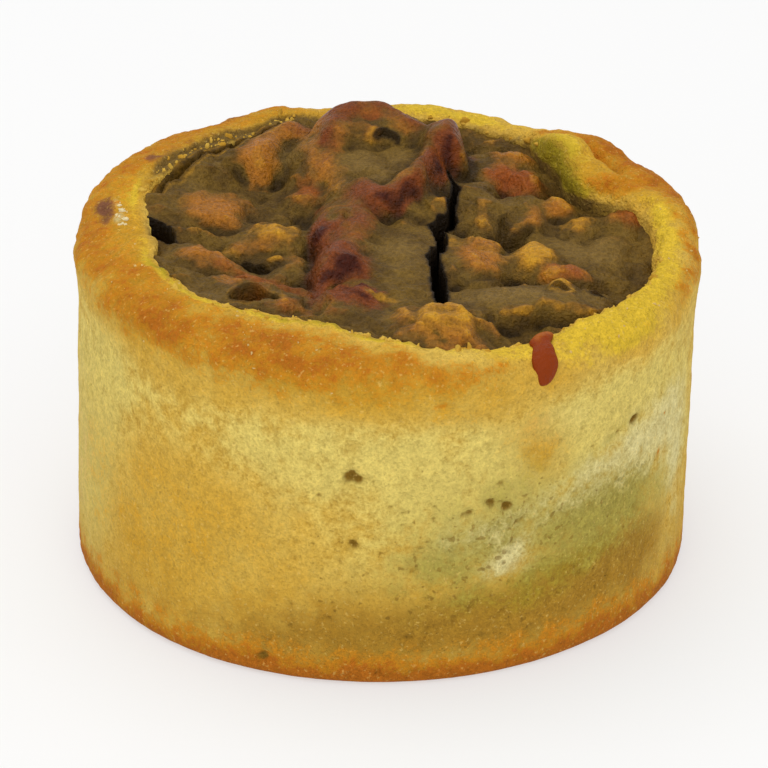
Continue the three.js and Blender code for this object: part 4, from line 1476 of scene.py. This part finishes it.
    def _split(self, flat: np.ndarray, height: np.ndarray, marks: Marks) -> np.ndarray:
        """Opens the splits and holes in the top.

        Args:
            flat: the grid's places in space.
            height: the heights so far.
            marks: the marks, which get painted shade inside and torn yellow edges.

        Returns:
            The heights, cut to each split's depth within its half width of the route.
        """
        rough = [self.grain.layers(flat + 80.0, 3.4, 2), self.grain.layers(flat + 5.0, 3.4, 2)]
        jagged = flat[..., :2] + 0.6 * np.stack(rough, axis=-1)
        for split in self.splits:
            away, share, _ = follow(jagged, smooth_path(np.array(split.route), 4))
            half = np.interp(share, np.linspace(0, 1, len(split.widths)), split.widths)
            height = height - split.depth * smoothstep(1.2, 0.7, away / half)
            # Painted shade inside the split.
            dark = split.dark * smoothstep(0.65, 0.25, away - half)
            torn = split.torn * smoothstep(1.4, 0.5, away - half)
            marks["crease_shade"] = np.maximum(marks["crease_shade"], dark)
            marks["yellow"] = np.maximum(marks["yellow"], torn)
        return height

    def relief(self, x: np.ndarray, y: np.ndarray) -> tuple[np.ndarray, Marks]:
        """The height of the top, and the marks for its colours.

        Args:
            x: grid of places.
            y: grid of places.

        Returns:
            Heights and marks. The lumps run together by a soft maximum, the log of the
            sum of exponentials. Rolls and ledges are added on it, then its rough skin,
            and the splits are cut into it.
        """
        flat = np.stack([x, y, np.zeros_like(x)], axis=-1)
        wx = x + 1.1 * self.grain.at(flat, 8.0) + 0.7 * self.grain.layers(flat, 3.6, 2)
        wy = y + 1.1 * self.grain.at(flat + 60.0, 8.0) + 0.7 * self.grain.layers(flat + 60.0, 3.6, 2)
        places = np.stack([wx, wy], axis=-1)
        out = np.hypot(x, y) / self.case.inside(np.degrees(np.arctan2(y, x)))
        powers = sum(np.exp(lump.cap(wx, wy) / self.softness) - 1.0 for lump in self.lumps)
        lumps = self.softness * np.log(1.0 + powers)
        height = self.level(x, y) + lumps * (1.0 - 0.7 * smoothstep(0.80, 0.99, out))
        marks = self._painted(x, y, flat)
        calm = sum(np.exp(-(((x - cx) / a) ** 2) - ((y - cy) / b) ** 2) for cx, cy, a, b in self.calm)
        height, calm = self._rolled(places, height, calm, marks)
        marks["crease_shade"] = np.zeros_like(height)
        height = self._stepped(places, height, marks)
        height = self._roughened(flat, np.stack([wx - x, wy - y, 0 * x], axis=-1), height, calm)
        self._browned_and_shaded(flat, height, marks)
        return self._split(flat, height, marks), marks

    def build(self) -> bpy.types.Object:
        """The filling as a piece that stands for its CAD node.

        Returns:
            The piece: the top, a side straight down from its edge, and a flat base.
        """
        x, y = self._plan()
        height, marks = self.relief(x, y)
        n = self.cells
        number = np.arange(n * n).reshape(n, n)
        corners = [number[:-1, :-1], number[1:, :-1], number[1:, 1:], number[:-1, 1:]]
        top = np.stack(corners, axis=-1).reshape(-1, 4)
        rim = np.concatenate([number[:-1, 0], number[-1, :-1], number[:0:-1, -1], number[0, :0:-1]])
        floor = self.case.floor_thickness + self.overlap
        cover = np.stack([x, y, height], axis=-1).reshape(-1, 3)
        foot = cover[rim] * (1, 1, 0) + (0, 0, floor)
        low = n * n + np.arange(len(rim))
        middle = n * n + len(rim)
        side = np.stack([low, np.roll(low, -1), np.roll(rim, -1), rim], axis=-1)
        base = np.stack([np.full(len(rim), middle), np.roll(low, -1), low], axis=-1)
        points = np.concatenate([cover, foot, [[0.0, 0.0, floor]]])
        hidden = np.zeros(len(rim) + 1)
        flat = {mark: np.concatenate([values.ravel(), hidden]) for mark, values in marks.items()}
        faces = top.tolist() + side.tolist() + base.tolist()
        piece = make_piece("filling_skin", self.case.leaned(points), faces, flat)
        piece.data.materials.append(self.finish.material())
        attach(piece, BODY)
        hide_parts("filling")
        return piece


# The crumbs

@dataclass(frozen=True)
class Scatter:
    """Where some crumbs lie on the rim: angles, station, its spread, count, size and paleness."""

    first: float
    last: float
    station: float
    spread: float
    count: int
    size: float = 1.0
    pale: float = 0.0


@dataclass
class Crumbs:
    """Crumbs of pastry that cling to the rim's inner edge and to its left shoulder."""

    case: PastryCase
    scatters: tuple[Scatter, ...] = (
        Scatter(-150, -62, 5.40, 0.14, 70), Scatter(-52, -10, 5.45, 0.16, 36),
        Scatter(112, 168, 5.5, 0.14, 60), Scatter(48, 100, 5.50, 0.20, 24),
        Scatter(172, 184, 4.86, 0.03, 14, 0.8, 1.0), Scatter(-178, -90, 4.7, 0.35, 70, 0.35, 0.4),
        Scatter(-60, 20, 4.6, 0.35, 30, 0.35, 0.3),
    )
    smallest: float = 0.16
    largest: float = 0.55
    sunk: float = 0.3
    around: int = 9
    along: int = 6
    seed: int = 31
    finish: CrumbFinish = field(default_factory=CrumbFinish)

    def build(self) -> bpy.types.Object:
        """Small bumpy balls sunk into the rim's skin.

        Returns:
            The piece. Each crumb is a grid of turns and rises on the unit ball,
            stretched along three axes, swollen by noise and set on the skin.
        """
        draw = np.random.default_rng(self.seed)
        count = sum(one.count for one in self.scatters)
        angles = [draw.uniform(one.first, one.last, one.count) for one in self.scatters]
        stations = [draw.normal(one.station, one.spread, one.count) for one in self.scatters]
        pale = np.concatenate([np.full(one.count, one.pale) for one in self.scatters])
        size = np.concatenate([np.full(one.count, one.size) for one in self.scatters])
        skin, out = self.case.skin_at(np.concatenate(angles), np.concatenate(stations))
        radius = size * (self.smallest + (self.largest - self.smallest) * draw.uniform(size=count) ** 3)
        turn = np.arange(self.around)[:, None] * 2 * np.pi / self.around
        rise = np.linspace(-np.pi / 2, np.pi / 2, self.along + 2)[None, :]
        wide = np.cos(rise)
        ball = np.stack([np.cos(turn) * wide, np.sin(turn) * wide, np.sin(rise) + 0 * turn], axis=-1)
        ball = np.concatenate([ball[:, 1:-1].reshape(-1, 3), ball[0, [0, -1]]])
        shape = ball[None] * draw.uniform(0.5, 1.5, (count, 1, 3))
        apart = 9.0 * np.arange(count)[:, None, None]
        bumps = 1.0 + 0.7 * Grain(self.seed).at(shape * 3.0 + apart, 2.4)
        middle = skin - self.sunk * radius[:, None] * out
        points = middle[:, None, :] + radius[:, None, None] * shape * bumps[..., None]
        one_ball = ring_faces(self.around, self.along)
        shift = len(ball) * np.arange(count)[:, None, None]
        quads = np.array([face for face in one_ball if len(face) == 4])[None] + shift
        fans = np.array([face for face in one_ball if len(face) == 3])[None] + shift
        faces = quads.reshape(-1, 4).tolist() + fans.reshape(-1, 3).tolist()
        marks = {"pale": np.repeat(pale, len(ball))}
        piece = make_piece("crumbs", self.case.leaned(points.reshape(-1, 3)), faces, marks)
        piece.data.materials.append(self.finish.material())
        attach(piece, BODY)
        return piece


# The run of sauce

@dataclass
class SauceRun:
    """The run of sauce over the front rim, from the inner edge to the lip."""

    case: PastryCase
    first_angle: float = -57.0
    last_angle: float = -61.6
    start: float = 5.5
    end: float = 3.95
    half_width: float = 1.8
    thickness: float = 0.85
    sink: float = 0.5
    sway: float = 0.30
    along: int = 60
    around: int = 32
    finish: SauceFinish = field(default_factory=SauceFinish)

    def build(self) -> bpy.types.Object:
        """A flattened tube laid along the rim's outline.

        Returns:
            The piece. Across its spine the section is an ellipse, flatter below than
            above. The root of 1 - (2t - 1)^4 rounds both ends, and a bell gives it a neck.
        """
        t = np.linspace(0.0, 1.0, self.along + 2)
        turn = np.arange(self.around) * 2 * np.pi / self.around
        pinch = 0.30 * np.exp(-(((t - 0.44) / 0.07) ** 2))
        neck = 1.0 - pinch - 0.12 * smoothstep(0.6, 1.0, t) + 0.05 * np.sin(19.0 * t)
        swell = np.sqrt(np.maximum(1 - (2 * t - 1) ** 4, 0.0)) * neck
        station = self.start + (self.end - self.start) * t
        angle = self.first_angle + (self.last_angle - self.first_angle) * t
        steps = np.arange(self.along + 2)
        spine = self.case.outline(angle, station)[steps, steps]
        way = np.gradient(spine, axis=0)
        middle = math.radians(0.5 * (self.first_angle + self.last_angle))
        side = np.array([-math.sin(middle), math.cos(middle), 0.0])
        up = np.cross(way, side)
        up /= np.linalg.norm(up, axis=1, keepdims=True)
        sway = self.sway * np.sin(8.0 * t) * swell
        wide = (sway[:, None] + self.half_width * swell[:, None] * np.cos(turn))[..., None] * side
        rise = np.where(np.sin(turn) > 0, self.thickness, self.sink) * np.sin(turn)
        skin = spine[:, None, :] + wide + (swell[:, None] * rise[None, :])[..., None] * up[:, None, :]
        grid = np.swapaxes(skin[1:-1], 0, 1)
        points = np.concatenate([grid.reshape(-1, 3), skin[0, :1], skin[-1, :1]])
        upper = np.concatenate([np.tile(smoothstep(0.55, 0.2, t[1:-1]), self.around), [1.0, 0.0]])
        faces = ring_faces(self.around, self.along)
        piece = make_piece("sauce_run", self.case.leaned(points), faces, {"upper": upper})
        piece.data.materials.append(self.finish.material())
        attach(piece, BODY)
        return piece


# The studio

@dataclass(frozen=True)
class Lamp:
    """A square soft light that faces the tart: name, place, side and power."""

    name: str
    place: tuple[float, float, float]
    side: float
    power: float


@dataclass
class Studio:
    """Pale floor, soft light and a camera at the photograph's viewing angle."""

    elevation: float = 27.3
    distance: float = 720.0
    roll: float = -0.24
    target: tuple[float, float, float] = (-0.299, 0.0, 22.35)
    lens: float = 257.5
    sensor: float = 36.0
    floor_size: float = 6000.0
    floor_tone: Colour = (0.40, 0.40, 0.40)
    floor_glow: Colour = (1.0, 1.0, 0.995)
    floor_glow_strength: float = 0.515
    room: float = 0.84
    lamps: tuple[Lamp, ...] = (
        Lamp("key", (-95, 130, 580), 440, 0.9), Lamp("front", (20, -560, 400), 560, 1.14),
    )

    def floor(self) -> None:
        """A wide plain floor, which isn't part of the tart."""
        half = self.floor_size / 2
        points = half * np.array([[-1.0, -1.0, 0.0], [1.0, -1.0, 0.0], [1.0, 1.0, 0.0], [-1.0, 1.0, 0.0]])
        floor = make_piece("floor", points, [[0, 1, 2, 3]], {})
        sheet = Sheet("pale_floor")
        sheet.set(Base_Color=self.floor_tone, Roughness=0.8, Specular_IOR_Level=0.1)
        sheet.set(Emission_Color=self.floor_glow, Emission_Strength=self.floor_glow_strength)
        floor.data.materials.append(sheet.material)

    def lights(self) -> None:
        """A white room, a light over the back left and a wide one from the front."""
        world = bpy.data.worlds.new("room")
        bpy.context.scene.world = world
        world.use_nodes = True
        back = world.node_tree.nodes["Background"]
        back.inputs["Color"].default_value = (1.0, 1.0, 1.0, 1.0)
        back.inputs["Strength"].default_value = self.room
        for one in self.lamps:
            light = bpy.data.lights.new(one.name, "AREA")
            light.size = one.side * MM
            light.energy = one.power
            lamp = bpy.data.objects.new(one.name, light)
            lamp.location = Vector(one.place) * MM
            lamp.rotation_euler = (-Vector(one.place)).to_track_quat("-Z", "Y").to_euler()
            bpy.context.scene.collection.objects.link(lamp)

    def camera(self) -> None:
        """A long lens that looks down on the tart from the front."""
        lift = math.radians(self.elevation)
        aim = Vector(self.target) * MM
        place = aim + Vector((0.0, -math.cos(lift), math.sin(lift))) * self.distance * MM
        lens = bpy.data.cameras.new("camera")
        lens.lens = self.lens
        lens.sensor_width = self.sensor
        camera = bpy.data.objects.new("camera", lens)
        bpy.context.scene.collection.objects.link(camera)
        turn = (aim - place).to_track_quat("-Z", "Y").to_matrix().to_4x4()
        roll = Matrix.Rotation(math.radians(self.roll), 4, "Z")
        camera.matrix_world = Matrix.Translation(place) @ turn @ roll
        bpy.context.scene.camera = camera

    def build(self) -> None:
        """Sets the stage and a plain view transform."""
        self.floor()
        self.lights()
        self.camera()
        bpy.context.scene.view_settings.view_transform = "Standard"


def main() -> None:
    """Builds the tart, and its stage."""
    logging.basicConfig(level=logging.INFO, format="%(name)s: %(message)s")
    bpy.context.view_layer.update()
    case = PastryCase()
    for piece in (case.build(), Filling(case).build(), SauceRun(case).build(), Crumbs(case).build()):
        LOG.info("%s: %d faces", piece.name, len(piece.data.polygons))
    Studio().build()
    bpy.context.view_layer.update()


if __name__ == "__main__":
    main()
